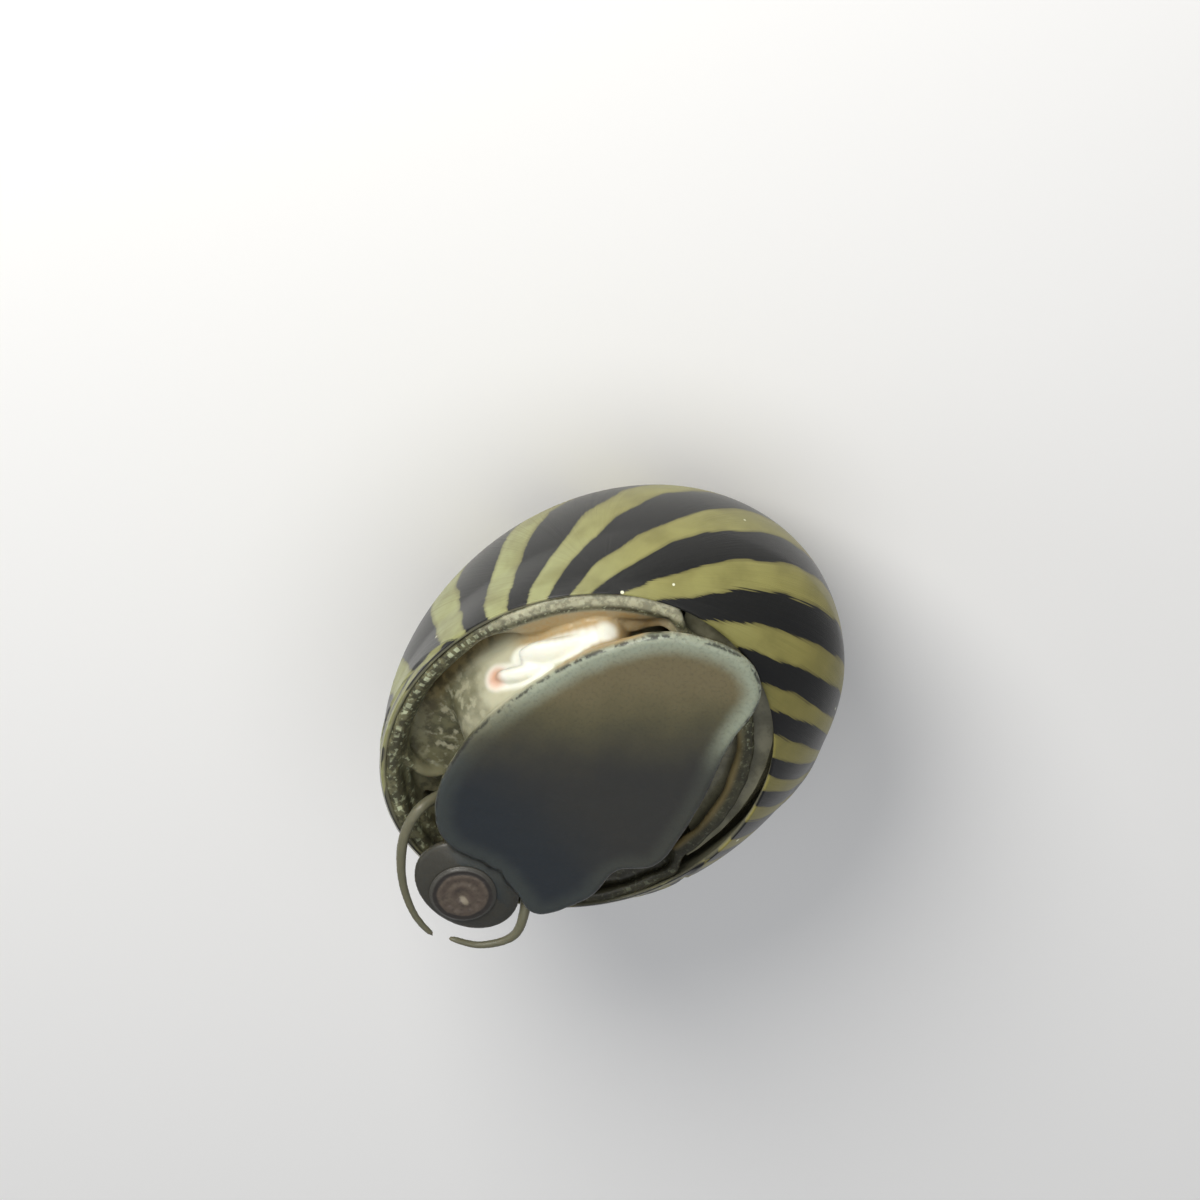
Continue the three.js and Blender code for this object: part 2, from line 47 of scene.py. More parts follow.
# the snail's own frame: millimetres, the sole at height 0, the head towards -Y
soleFrame = {"mouthX": 1.15, "mouthY": -9.2, "soleHeight": 16.0}
mouthLow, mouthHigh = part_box("mouth")
home = Vector((
    (mouthLow.x + mouthHigh.x) / 2 / mm - soleFrame["mouthX"],
    (mouthLow.y + mouthHigh.y) / 2 / mm - soleFrame["mouthY"],
    soleFrame["soleHeight"],
))
print("home", [round(value, 4) for value in home])


def smooth(value, low, high):
    share = min(1.0, max(0.0, (value - low) / (high - low)))
    return share * share * (3 - 2 * share)


def blend(first, second, share):
    return first + (second - first) * share


# shader nodes as expressions

class Wire:
    def __init__(self, paint, socket):
        self.paint = paint
        self.socket = socket

    def maths(self, operation, *others):
        return self.paint.maths(operation, self, *others)

    def __add__(self, other):
        return self.maths("ADD", other)

    __radd__ = __add__

    def __sub__(self, other):
        return self.maths("SUBTRACT", other)

    def __rsub__(self, other):
        return self.paint.maths("SUBTRACT", other, self)

    def __mul__(self, other):
        return self.maths("MULTIPLY", other)

    __rmul__ = __mul__

    def __truediv__(self, other):
        return self.maths("DIVIDE", other)


class Paint:
    def __init__(self, name):
        self.material = bpy.data.materials.new(name)
        self.material.use_nodes = True
        self.tree = self.material.node_tree
        self.tree.nodes.clear()
        place = self.node("ShaderNodeTexCoord", {}, {}, "Object")
        scaled = self.node("ShaderNodeVectorMath", {"operation": "SCALE"}, {0: place, "Scale": 1 / mm})
        self.place = self.vector("SUBTRACT", scaled, tuple(home))

    def node(self, kind, settings, sockets, output=0):
        made = self.tree.nodes.new(kind)
        for setting, value in settings.items():
            setattr(made, setting, value)
        for socket, value in sockets.items():
            if isinstance(value, Wire):
                self.tree.links.new(value.socket, made.inputs[socket])
            else:
                made.inputs[socket].default_value = value
        return Wire(self, made.outputs[output]) if len(made.outputs) else made

    def maths(self, operation, *values):
        return self.node("ShaderNodeMath", {"operation": operation}, dict(enumerate(values)))

    def vector(self, operation, first, second, output=0):
        return self.node("ShaderNodeVectorMath", {"operation": operation}, {0: first, 1: second}, output)

    def dot(self, first, second):
        return self.vector("DOT_PRODUCT", first, second, "Value")

    def step(self, value, low, high):
        return self.node("ShaderNodeMapRange", {"interpolation_type": "SMOOTHSTEP"},
                         {"Value": value, "From Min": low, "From Max": high})

    def mix(self, factor, first, second):
        return self.node("ShaderNodeMix", {"data_type": "RGBA"},
                         {0: factor, 6: self.colour(first), 7: self.colour(second)}, 2)

    def colour(self, value):
        return value if isinstance(value, Wire) else (*value, 1.0)

    def join(self, x, y, z=0.0):
        return self.node("ShaderNodeCombineXYZ", {}, {0: x, 1: y, 2: z})

    def part(self, vector, axis):
        return self.node("ShaderNodeSeparateXYZ", {}, {0: vector}, axis)

    def noise(self, vector, scale, detail=3.0, roughness=0.5):
        sockets = {"Vector": vector, "Scale": scale, "Detail": detail, "Roughness": roughness}
        return self.node("ShaderNodeTexNoise", {}, sockets, "Fac")

    def cells(self, vector, scale):
        return self.node("ShaderNodeTexVoronoi", {}, {"Vector": vector, "Scale": scale}, "Distance")

    # 0 at whole numbers, rising to 0.5 halfway between two
    def fromWhole(self, value):
        return self.maths("ABSOLUTE", self.maths("FRACT", value + 0.5) - 0.5)

    def attribute(self, name):
        return self.node("ShaderNodeAttribute", {"attribute_name": name}, {}, "Fac")

    def finish(self, sockets, height=None, depth=0.02):
        if height is not None:
            bump = {"Height": height, "Distance": depth * mm, "Strength": 1.0}
            sockets["Normal"] = self.node("ShaderNodeBump", {}, bump, "Normal")
        shader = self.node("ShaderNodeBsdfPrincipled", {}, sockets)
        self.node("ShaderNodeOutputMaterial", {}, {"Surface": shader})
        return self.material


# modelling helpers

def clearSelection():
    if bpy.context.object and bpy.context.object.mode != "OBJECT":
        bpy.ops.object.mode_set(mode="OBJECT")
    bpy.ops.object.select_all(action="DESELECT")


def makeActive(*pieces):
    clearSelection()
    for piece in pieces:
        piece.select_set(True)
    bpy.context.view_layer.objects.active = pieces[0]


# a ball whose points are put by a formula of their turn and their share of the way from pole to pole
def shapedBall(name, columns, rows, placeAt):
    clearSelection()
    bpy.ops.mesh.primitive_uv_sphere_add(segments=columns, ring_count=rows, radius=1.0)
    ball = bpy.context.object
    ball.name = name
    for vertex in ball.data.vertices:
        share = math.acos(max(-1.0, min(1.0, vertex.co.z))) / math.pi
        turn = math.atan2(vertex.co.y, vertex.co.x) % (2 * math.pi)
        vertex.co = placeAt(turn, round(share * rows) / rows)
    return ball


def moveHome(piece):
    piece.data.transform(Matrix.Translation(home * mm) @ Matrix.Scale(mm, 4))
    piece.data.update()


def dressPiece(piece, material, slotName, *nodes):
    piece.data.materials.clear()
    piece.data.materials.append(material)
    makeActive(piece)
    bpy.ops.object.shade_smooth()
    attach(piece, "root")
    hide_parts(*nodes)


# a centripetal Catmull-Rom curve through points, as a list of evenly parted places
def curveThrough(points, steps, closed=False):
    points = [Vector(point) for point in points]
    count = len(points)
    spans = count if closed else count - 1
    if closed:
        ends = [points[-1], *points, points[0], points[1]]
    else:
        ends = [points[0] * 2 - points[1], *points, points[-1] * 2 - points[-2]]
    places = []
    for k in range(steps if closed else steps + 1):
        along = k / steps * spans
        span = min(int(along), spans - 1)
        four = ends[span:span + 4]
        knots = [0.0]
        for start, stop in zip(four, four[1:]):
            knots.append(knots[-1] + max((stop - start).length ** 0.5, 1e-4))
        at = blend(knots[1], knots[2], along - span)
        level = list(four)
        for degree in (1, 2, 3):
            for j in range(4 - degree):
                low = knots[j] if degree < 3 else knots[1]
                high = knots[j + degree] if degree < 3 else knots[2]
                share = (at - low) / (high - low)
                level[j] = level[j].lerp(level[j + 1], share)
        places.append(level[0])
    return places


# shell

shell = {
    "middle": Vector((0.9, 0.3, -5.5)), "left": 9.4, "right": 8.9, "halfLength": 11.7,
    "below": 10.7, "above": 7.9, "restHeight": -16.0,
    "rim": Vector((-0.8, -0.7, -1.6)), "rimLeft": 8.3, "rimRight": 8.8, "rimHalfLength": 9.4, "rimBend": 1.5,
    "apex": Vector((8.4, 3.4, -2.8)).normalized(),
    "spireHeight": 0.8, "spireReach": 27.0, "spireBend": 1.5,
    "sutureTurn": 44.0, "sutureReach": 53.0, "expansion": 3.2, "whorls": 4,
    "sutureDepth": 0.13, "sutureWidth": 0.04, "sutureLeastWidth": 0.5,
    "wall": 0.9, "crownWall": 2.2, "lipWall": 0.32, "lipDepth": 1.5,
    "hingeStart": Vector((-5.5, 6.5, -2.5)), "hingeEnd": Vector((8.5, 5.5, -8.0)),
    "growthHingeY": -0.2, "growthSlope": 17.0, "growthStep": 0.1, "growthWave": 0.25, "growthWaves": 0.5,
    "growthSoftness": 0.08,
    "insideLevels": (0.968, 0.985),
    "columns": 288, "rows": 200, "outerShare": 0.7,
}
acrossOne = (Vector((0, 0, 1)) - shell["apex"] * shell["apex"].z).normalized()
acrossTwo = shell["apex"].cross(acrossOne)
hingeAxis = (shell["hingeEnd"] - shell["hingeStart"]).normalized()
hingeOut = (Vector((0, -1, 0)) + hingeAxis * hingeAxis.y).normalized()
hingeDown = hingeAxis.cross(hingeOut)
if hingeDown.z > 0:
    hingeDown = -hingeDown


# the egg-shaped dome's section at a height over its middle
def domeSection(height):
    rise = shell["rim"].z - shell["middle"].z
    share = min(1.0, max(0.0, height / rise)) ** shell["rimBend"]
    rimLevel = math.sqrt(1 - (rise / shell["above"]) ** 2)
    return {
        "x": blend(shell["middle"].x, shell["rim"].x, share),
        "y": blend(shell["middle"].y, shell["rim"].y, share),
        "left": blend(shell["left"], shell["rimLeft"] / rimLevel, share),
        "right": blend(shell["right"], shell["rimRight"] / rimLevel, share),
        "halfLength": blend(shell["halfLength"], shell["rimHalfLength"] / rimLevel, share),
    }


def domePoint(latitude, longitude, inset, crownInset):
    depth = shell["above"] if latitude > 0 else shell["below"] - crownInset
    height = math.sin(latitude) * depth
    section = domeSection(height)
    half = section["right"] if math.cos(longitude) > 0 else section["left"]
    return Vector((
        section["x"] + math.cos(latitude) * (half - inset) * math.cos(longitude),
        section["y"] + math.cos(latitude) * (section["halfLength"] - inset) * math.sin(longitude),
        shell["middle"].z + height,
    ))


# 1 on the dome's surface and less inside it
def domeLevel(point):
    height = point.z - shell["middle"].z
    section = domeSection(height)
    half = section["right"] if point.x > section["x"] else section["left"]
    depth = shell["above"] if height > 0 else shell["below"]
    across = (point.x - section["x"]) / half
    along = (point.y - section["y"]) / section["halfLength"]
    return math.sqrt(across * across + along * along + (height / depth) ** 2)


def polarPlace(point):
    away = (point - shell["middle"]).normalized()
    turn = math.degrees(math.atan2(away.dot(acrossTwo), away.dot(acrossOne))) % 360
    return turn, math.degrees(away.angle(shell["apex"])), away


# how far the coiled surface stands out of the dome, with a groove along the suture
def relief(turn, reach):
    since = ((turn - shell["sutureTurn"]) % 360) / 360
    rise = shell["spireHeight"] * max(0.0, 1 - (reach / shell["spireReach"]) ** 2) ** shell["spireBend"]
    for whorl in range(shell["whorls"]):
        line = shell["sutureReach"] * shell["expansion"] ** -(since + whorl)
        away = (reach - line) / (shell["sutureWidth"] * line + shell["sutureLeastWidth"])
        rise -= shell["sutureDepth"] * math.sqrt(line / shell["sutureReach"]) * math.exp(-away * away)
    return rise


# 1 on the last season's growth, which lies above a slanting line
def newGrowth(point):
    slope = math.tan(math.radians(shell["growthSlope"]))
    line = shell["rim"].z + slope * (point.y - shell["growthHingeY"])
    line += shell["growthWave"] * noise.noise(point * shell["growthWaves"])
    return smooth(point.z - line, -shell["growthSoftness"], shell["growthSoftness"])


# the outside from the top of the dome to the lip, then the inside back again
def shellPlace(turn, share):
    rimLatitude = math.asin((shell["rim"].z - shell["middle"].z) / shell["above"])
    low = -math.pi / 2
    if share <= shell["outerShare"]:
        latitude = blend(low, rimLatitude, share / shell["outerShare"])
        point = domePoint(latitude, turn, 0.0, 0.0)
        polarTurn, reach, away = polarPlace(point)
        point += away * (relief(polarTurn, reach) - shell["growthStep"] * newGrowth(point))
        point.z = max(point.z, shell["restHeight"])
        return point
    inward = (share - shell["outerShare"]) / (1 - shell["outerShare"])
    latitude = blend(rimLatitude, low, inward)
    heightBelow = shell["rim"].z - (shell["middle"].z + math.sin(max(latitude, 0)) * shell["above"])
    thickness = blend(shell["lipWall"], shell["wall"], smooth(heightBelow, 0.0, shell["lipDepth"]))
    return domePoint(latitude, turn, thickness, shell["crownWall"])


# stripes run from the apex out to the lip: lines between two poles, one of them in the mouth of the shell
stripes = {
    "count": 15, "farTurn": 156.7, "farRise": 42.6, "spiral": 0.0206, "curl": 0.0136, "start": -5.1543,
    "bunching": ((0.3708, 0.8613), (-0.1983, -1.5639)), "duty": 0.53, "leastNearness": 0.0005,
    # more stripes on the side that faces forward and to the right
    "extra": 7, "extraStart": 0.06, "extraSpan": 0.35,
    # the last season's stripes run along the lip
    "newSpacing": 1.25, "newTilt": 0.12, "newShift": 0.1, "newDuty": 0.42,
}


def flattened(direction):
    scale = 1 + direction.dot(shell["apex"])
    return direction.dot(acrossOne) / scale, direction.dot(acrossTwo) / scale


def stripePhase(paint, away):
    farTurn, farRise = math.radians(stripes["farTurn"]), math.radians(stripes["farRise"])
    level = Vector((math.cos(farTurn), math.sin(farTurn), 0)) * math.cos(farRise)
    farX, farY = flattened(level + Vector((0, 0, math.sin(farRise))))
    farSquare = farX * farX + farY * farY
    scale = paint.dot(away, tuple(shell["apex"])) + 1
    x = paint.dot(away, tuple(acrossOne)) / scale
    y = paint.dot(away, tuple(acrossTwo)) / scale
    sideX = 1 - (x * farX + y * farY) / farSquare
    sideY = (x * farY - y * farX) / farSquare
    turn = paint.maths("ARCTAN2", y * sideX - x * sideY, x * sideX + y * sideY) / (2 * math.pi)
    nearness = (x * x + y * y) / (sideX * sideX + sideY * sideY)
    depth = paint.maths("LOGARITHM", paint.maths("MAXIMUM", nearness, stripes["leastNearness"]), math.e) / 2
    turn = turn + depth * stripes["spiral"] + depth * depth * stripes["curl"]
    phase = turn * stripes["count"] + stripes["start"]
    for waves, (height, shift) in enumerate(stripes["bunching"], 1):
        phase = phase + paint.maths("SINE", turn * (2 * math.pi * waves) + shift) * height
    since = paint.maths("FRACT", turn - stripes["extraStart"])
    return phase + paint.step(since, 0.0, stripes["extraSpan"]) * stripes["extra"]


def shellMaterial():
    paint = Paint("bandedShell")
    looks = {
        "gold": (0.25, 0.22, 0.060), "yellow": (0.285, 0.27, 0.09), "lime": (0.33, 0.345, 0.16),
        "olive": (0.15, 0.135, 0.040), "black": (0.006, 0.0065, 0.008), "bandEdge": (0.075, 0.060, 0.022),
        "cream": (0.70, 0.67, 0.52), "insideWall": (0.30, 0.29, 0.20), "specks": (0.85, 0.86, 0.62),
        "greenishPaleAndHighlight": (0.44, 0.52, 0.27),
        "speckScale": 0.42, "speckReach": (0.03, 0.045), "wornReach": (6.5, 3.0), "wornUneven": 11.0,
        "goldToYellow": (55.0, 95.0), "yellowToLime": (105.0, 145.0), "rimGrowth": (4.0, 30.0),
    }
    fromMiddle = paint.vector("SUBTRACT", paint.place, tuple(shell["middle"]))
    away = paint.vector("NORMALIZE", fromMiddle, (0, 0, 0))
    toDegrees = 180 / math.pi
    reach = paint.maths("ARCCOSINE", paint.dot(away, tuple(shell["apex"]))) * toDegrees

    # growth lines are cut by planes through the hinge line
    fromHinge = paint.vector("SUBTRACT", paint.place, tuple(shell["hingeStart"]))
    down, out = paint.dot(fromHinge, tuple(hingeDown)), paint.dot(fromHinge, tuple(hingeOut))
    growth = paint.maths("ARCTAN2", down, out) * toDegrees
    jag = paint.noise(paint.join(growth * 0.9, reach * 0.03), 1.0, 2.0) - 0.5
    fray = paint.noise(paint.join(growth * 4.0, reach * 0.05), 1.0, 2.0) - 0.5
    wobble = paint.noise(paint.place, 0.35, 2.0) - 0.5
    nearRim = 1 - paint.step(growth, *looks["rimGrowth"])
    above = paint.part(paint.place, 2) - shell["rim"].z
    slope = math.tan(math.radians(shell["growthSlope"]))
    newer = above - (paint.part(paint.place, 1) - shell["growthHingeY"]) * slope
    newer = paint.step(newer - 0.5 * (paint.noise(paint.place, shell["growthWaves"], 1.0) - 0.5), -0.05, 0.05)

    # the stripes of the older shell, and those of the last season beyond the growth line
    older = stripePhase(paint, away) + wobble * 0.24 + jag * (0.06 + 0.12 * nearRim)
    latest = above / -stripes["newSpacing"] + paint.part(paint.place, 0) * stripes["newTilt"]
    latest = latest + wobble * 1.3 + jag * 0.25 + stripes["newShift"]
    phase = older + (latest - older) * newer
    offCentre = paint.fromWhole(phase)
    width = stripes["duty"] / 2 + (paint.noise(paint.place, 0.22, 1.0) - 0.5) * 0.16 + fray * 0.03
    width = width - newer * (stripes["duty"] - stripes["newDuty"]) / 2
    band = 1 - paint.step(offCentre - width, -0.010, 0.010)
    halo = 1 - paint.step(offCentre - width, -0.01, 0.07)

    # colours
    fine = paint.noise(paint.join(growth * 2.6, reach * 0.05), 1.0, 3.0)
    patchy = paint.noise(paint.place, 0.6, 3.0)
    ground = paint.mix(paint.step(reach, *looks["goldToYellow"]), looks["gold"], looks["yellow"])
    ground = paint.mix(paint.step(reach, *looks["yellowToLime"]), ground, looks["lime"])
    ground = paint.mix(paint.step(patchy, 0.35, 0.75) * 0.55, ground, looks["olive"])
    ground = paint.mix(newer * 0.35, ground, looks["olive"])
    ground = paint.mix(paint.step(fine, 0.45, 0.8) * 0.4, ground, looks["olive"])
    # pale greenish patches on the last season's growth, partly the shell's own pale squares and partly a
    # painted highlight
    ground = paint.mix(newer * paint.step(patchy, 0.58, 0.75) * 0.6, ground, looks["greenishPaleAndHighlight"])
    ground = paint.mix(halo * 0.55, ground, looks["bandEdge"])
    colour = paint.mix(band * (0.95 + 0.05 * fine), ground, looks["black"])
    specks = 1 - paint.step(paint.cells(paint.place, looks["speckScale"]), *looks["speckReach"])
    colour = paint.mix(specks, colour, looks["specks"])
    wornEdge = (paint.noise(paint.place, 1.3, 4.0, 0.6) - 0.5) * looks["wornUneven"]
    worn = paint.step(reach + wornEdge, *looks["wornReach"])
    colour = paint.mix(worn, colour, looks["cream"])
    colour = paint.mix(paint.attribute("inside"), colour, looks["insideWall"])

    lines = paint.noise(paint.join(growth * 5.0, reach * 0.04), 1.0, 4.0, 0.65)
    pits = worn * paint.noise(paint.place, 4.0, 3.0) * 2
    height = lines * 0.7 + fine * 0.8 + pits - band * 0.1 + specks * 1.5
    roughness = 0.26 + 0.14 * fine + 0.25 * worn + 0.1 * (1 - band)
    return paint.finish({
        "Base Color": colour, "Roughness": roughness, "IOR": 1.4,
        "Coat Weight": 0.12, "Coat Roughness": 0.06, "Coat IOR": 1.4,
        "Subsurface Weight": 0.06, "Subsurface Radius": (1.0, 0.8, 0.4), "Subsurface Scale": 0.0006,
    }, height, 0.014)


def makeShell():
    piece = shapedBall("shell", shell["columns"], shell["rows"], shellPlace)
    insideValues = piece.data.attributes.new("inside", "FLOAT", "POINT")
    for index, vertex in enumerate(piece.data.vertices):
        insideValues.data[index].value = 1 - smooth(domeLevel(vertex.co), *shell["insideLevels"])
    makeActive(piece)
    bpy.ops.object.mode_set(mode="EDIT")
    bpy.ops.mesh.select_all(action="SELECT")
    bpy.ops.mesh.normals_make_consistent(inside=False)
    bpy.ops.object.mode_set(mode="OBJECT")
    moveHome(piece)
    dressPiece(piece, shellMaterial(), "shell", "shell_body_whorl", "shell_lip", "shell_spire")


makeShell()
print("shell made")


# flesh: foot, flank, head, snout, mantle, leaves and feelers in one skin

foot = {
    "outline": [
        (-3.6, -6.7), (-5.2, -3.4), (-5.6, 0.3), (-5.1, 4.4), (-3.5, 7.6),
        (-0.4, 9.2), (1.6, 8.5), (2.8, 5.7), (4.7, 2.0), (5.8, -1.5),
        (4.9, -3.0), (5.2, -5.2), (4.3, -7.4), (1.2, -7.2), (-1.6, -7.9),
    ],
    "outlineSteps": 360,
    "stalk": Vector((-0.8, -1.6, 0)), "stalkWidth": 3.5, "stalkLength": 4.1,
    # the left side bulges: the flank first, and deeper down the hollow's floor, which reaches further round
    "flank": {"turn": 162.0, "spread": 70.0, "fullShare": 0.45},
    "floor": {"turn": 182.0, "spread": 108.0, "top": -2.9, "full": -3.6},
    # height; on the plain side the reach beyond the outline and the share of it kept; the reach on the left
    "levels": [
        (0.0, -0.28, 1.0, -0.28), (-0.06, -0.10, 1.0, -0.10), (-0.2, 0.0, 1.0, 0.0),
        (-0.45, -0.02, 1.0, 0.0), (-0.75, -0.15, 0.98, -0.16), (-0.95, -0.3, 0.85, -0.30),
        (-1.15, -0.3, 0.5, -0.12), (-1.4, -0.3, 0.2, 0.22), (-1.75, -0.3, 0.1, 0.5), (-2.3, -0.3, 0.0, 0.8),
        (-2.9, -0.3, 0.0, 1.1), (-3.4, -0.3, 0.0, 1.7), (-3.7, -0.3, 0.0, 2.6), (-4.6, -0.3, 0.0, 2.8),
        (-6.0, -0.3, 0.1, 2.6), (-7.1, 0.0, 0.5, 1.8),
    ],
    # the hump that fills the shell's bottom: height and reach from the middle of the dome
    "hump": [(-7.6, 7.6), (-8.4, 8.3), (-10.0, 8.0), (-11.6, 6.9), (-12.9, 4.6), (-13.4, 2.2)],
    "humpEnd": 0.1, "humpClear": 1.2, "wallClear": 1.25, "clearBelow": -2.0,
    "ripple": {"height": 0.05, "waves": 5.0, "slant": 0.5},
    "frill": {"height": 0.10, "waves": 23, "sway": 3.0, "swayWaves": 5,
              "back": (-0.35, -0.8), "right": (0.0, 0.35), "top": (-1.0, -0.5)},
    "columns": 180,
}
mantleSkirt = {
    "centre": Vector((-0.8, -0.7, 0)), "rimRadius": 9.4,
    "lip": {"start": 106.0, "end": 354.0, "before": 6.0, "after": 4.0, "top": -1.72,
            "clear": 0.34, "wallClear": 0.95},
    "deckSide": {"inset": 1.3, "width": 0.85, "height": 0.6, "level": -1.75},
    "shelf": {"start": 100.0, "full": 116.0, "fade": 152.0, "end": 174.0},
    # reach from the middle and height, once round the section, with and without the shelf
    "plainSection": [
        (9.10, -1.95), (9.02, -1.74), (8.66, -1.72), (8.38, -1.90), (8.22, -2.25), (8.10, -2.9),
        (8.05, -3.6), (7.95, -5.0), (7.6, -6.4), (6.6, -7.5), (7.6, -7.8), (8.2, -6.6), (8.6, -5.0),
        (8.6, -3.6),
    ],
    "shelfSection": [
        (9.10, -1.95), (9.02, -1.74), (8.60, -1.72), (8.05, -1.88), (7.35, -2.15), (6.8, -2.5),
        (6.6, -2.85), (7.1, -3.6), (7.5, -6.4), (6.6, -7.5), (7.6, -7.8), (8.2, -6.6), (8.6, -5.0),
        (8.5, -3.6),
    ],
    # above the first height the section follows the wall there, and below the second it keeps clear of it
    "followHeight": -2.5, "clearHeight": -2.2,
    "wave": {"height": 0.10, "waves": 7.0, "slant": 3.0, "rise": 0.8},
    "wallSearch": (4.0, 12.0), "wallHalvings": 18, "columns": 300, "rows": 56,
}
leaves = {
    "upper": {"path": [(-6.35, 0.8, -1.75), (-6.05, 1.8, -1.5), (-5.4, 3.0, -1.5), (-4.7, 4.5, -1.75)],
              "width": 0.62, "thick": 0.38},
    "lower": {"path": [(-6.2, -0.75, -1.75), (-5.95, 0.2, -1.35), (-5.5, 1.5, -1.2)],
              "width": 0.38, "thick": 0.3},
    "fold": {"path": [(-7.4, -4.2, -3.0), (-6.5, -6.0, -2.8), (-5.2, -7.1, -2.7), (-3.8, -7.2, -2.9),
                      (-2.8, -6.6, -3.2)],
             "width": 0.28, "thick": 0.5},
}
leafEnd = 0.04  # the share of the half wave that is left off at each end of a leaf
snout = {"centre": Vector((1.2, -9.0, -0.7)), "size": Vector((2.75, 2.2, 0.62)), "flat": -0.1}
head = {"centre": Vector((0.6, -5.7, -3.0)), "size": Vector((2.8, 2.0, 1.5))}
feelers = {
    "left": [(-1.2, -6.2, -2.6), (-1.9, -6.6, -2.4), (-2.7, -7.1, -1.95), (-3.2, -8.0, -1.2),
             (-2.75, -9.3, -0.9), (-1.7, -10.5, -0.8), (-0.3, -11.5, -0.8), (1.2, -12.1, -0.8),
             (2.5, -12.2, -0.8)],
    "right": [(2.3, -6.1, -2.6), (2.7, -6.5, -2.3), (3.4, -7.3, -1.6), (4.3, -8.2, -0.95),
              (4.9, -9.4, -0.8), (4.3, -10.9, -0.8), (2.95, -11.8, -0.8)],
    "base": 0.38, "middle": 0.28, "tip": 0.17, "middleShare": 0.35,
}
eyeStalks = {
    "left": [(-1.5, -6.1, -3.3), (-3.2, -6.9, -3.85)], "right": [(2.7, -5.9, -3.4), (4.2, -6.5, -4.0)],
    "radius": 0.42, "eyeRadius": 0.26, "eyeOut": 0.20, "eyeColumns": 32, "eyeRows": 20,
}
# columns and rows of the limbs, and the power that rounds their ends
limbForm = {"feeler": (14, 60), "stalk": (16, 12), "leaf": (20, 24), "ball": (40, 24),
            "endStretch": 1.06, "endPower": 24}
skinForm = {"voxel": 0.11, "smoothing": 4, "smoothFactor": 0.5}
footRows = len(foot["levels"]) + len(foot["hump"]) + 1
outline = curveThrough([(x, y, 0) for x, y in foot["outline"]], foot["outlineSteps"], closed=True)


# 1 where the left side bulges, by the turn round the stalk and the height
def leftness(turn, height):
    onFloor = smooth(-height, -foot["floor"]["top"], -foot["floor"]["full"])
    middle = blend(foot["flank"]["turn"], foot["floor"]["turn"], onFloor)
    spread = blend(foot["flank"]["spread"], foot["floor"]["spread"], onFloor)
    away = (math.degrees(turn) - middle + 180) % 360 - 180
    return 1 - smooth(abs(away), spread * foot["flank"]["fullShare"], spread)


# the outline by the turn round the stalk
def outlineByTurn():
    places = {}
    for point in outline:
        away = point - foot["stalk"]
        turn = math.degrees(math.atan2(away.y, away.x)) % 360
        places[round(turn)] = max(places.get(round(turn), 0), away.length)
    known = sorted(places)
    reaches = []
    for turn in range(360):
        low = max([k for k in known if k <= turn], default=known[-1] - 360)
        high = min([k for k in known if k >= turn], default=known[0] + 360)
        share = 0 if high == low else (turn - low) / (high - low)
        reaches.append(blend(places[low % 360], places[high % 360], share))
    return reaches


outlineReach = outlineByTurn()


def footReach(turn):
    degrees = math.degrees(turn) % 360
    low = int(degrees) % 360
    return blend(outlineReach[low], outlineReach[(low + 1) % 360], degrees - int(degrees))


def stalkReach(turn):
    across = math.cos(turn) / foot["stalkWidth"]
    along = math.sin(turn) / foot["stalkLength"]
    return 1 / math.sqrt(across * across + along * along)


# a point that would lie in the shell's wall is drawn back inside it
def keptInside(point, clear):
    height = point.z - shell["middle"].z
    section = domeSection(height)
    depth = shell["above"] if height > 0 else shell["below"] - shell["crownWall"]
    ring = math.sqrt(max(0.0, 1 - (height / depth) ** 2))
    half = section["right"] if point.x > section["x"] else section["left"]
    x, y = point.x - section["x"], point.y - section["y"]
    level = max(1.0, math.hypot(x / (half * ring - clear), y / (section["halfLength"] * ring - clear)))
    return Vector((section["x"] + x / level, section["y"] + y / level, point.z))


# small ripples all round the foot, and a frill at its front right corner
def footRipple(turn, height):
    x, y = math.cos(turn), math.sin(turn)
    ripple, frill = foot["ripple"], foot["frill"]
    even = noise.noise(Vector((x * ripple["waves"], y * ripple["waves"], height * ripple["slant"])))
    onFrill = smooth(y, *frill["back"]) * smooth(x, *frill["right"]) * smooth(height, *frill["top"])
    folds = math.sin(frill["waves"] * turn + frill["sway"] * math.sin(frill["swayWaves"] * turn))
    return ripple["height"] * even + frill["height"] * onFrill * folds


def footPlace(turn, share):
    levels, hump = foot["levels"], foot["hump"]
    row = round(share * footRows)
    across = Vector((math.cos(turn), math.sin(turn), 0))
    if row == 0:
        return foot["stalk"].copy()
    if row > len(levels):
        last = row > len(levels) + len(hump)
        height, reach = (hump[-1][0] - foot["humpEnd"], 0.0) if last else hump[row - len(levels) - 1]
        axis = Vector((shell["middle"].x, shell["middle"].y, height))
        return axis if last else keptInside(axis + across * reach, foot["humpClear"])
    height, beyond, kept, leftBeyond = levels[row - 1]
    plain = blend(stalkReach(turn), footReach(turn) + beyond, kept)
    reach = blend(plain, footReach(turn) + leftBeyond, leftness(turn, height)) + footRipple(turn, height)
    place = foot["stalk"] + across * reach + Vector((0, 0, height))
    return keptInside(place, foot["wallClear"]) if height < foot["clearBelow"] else place


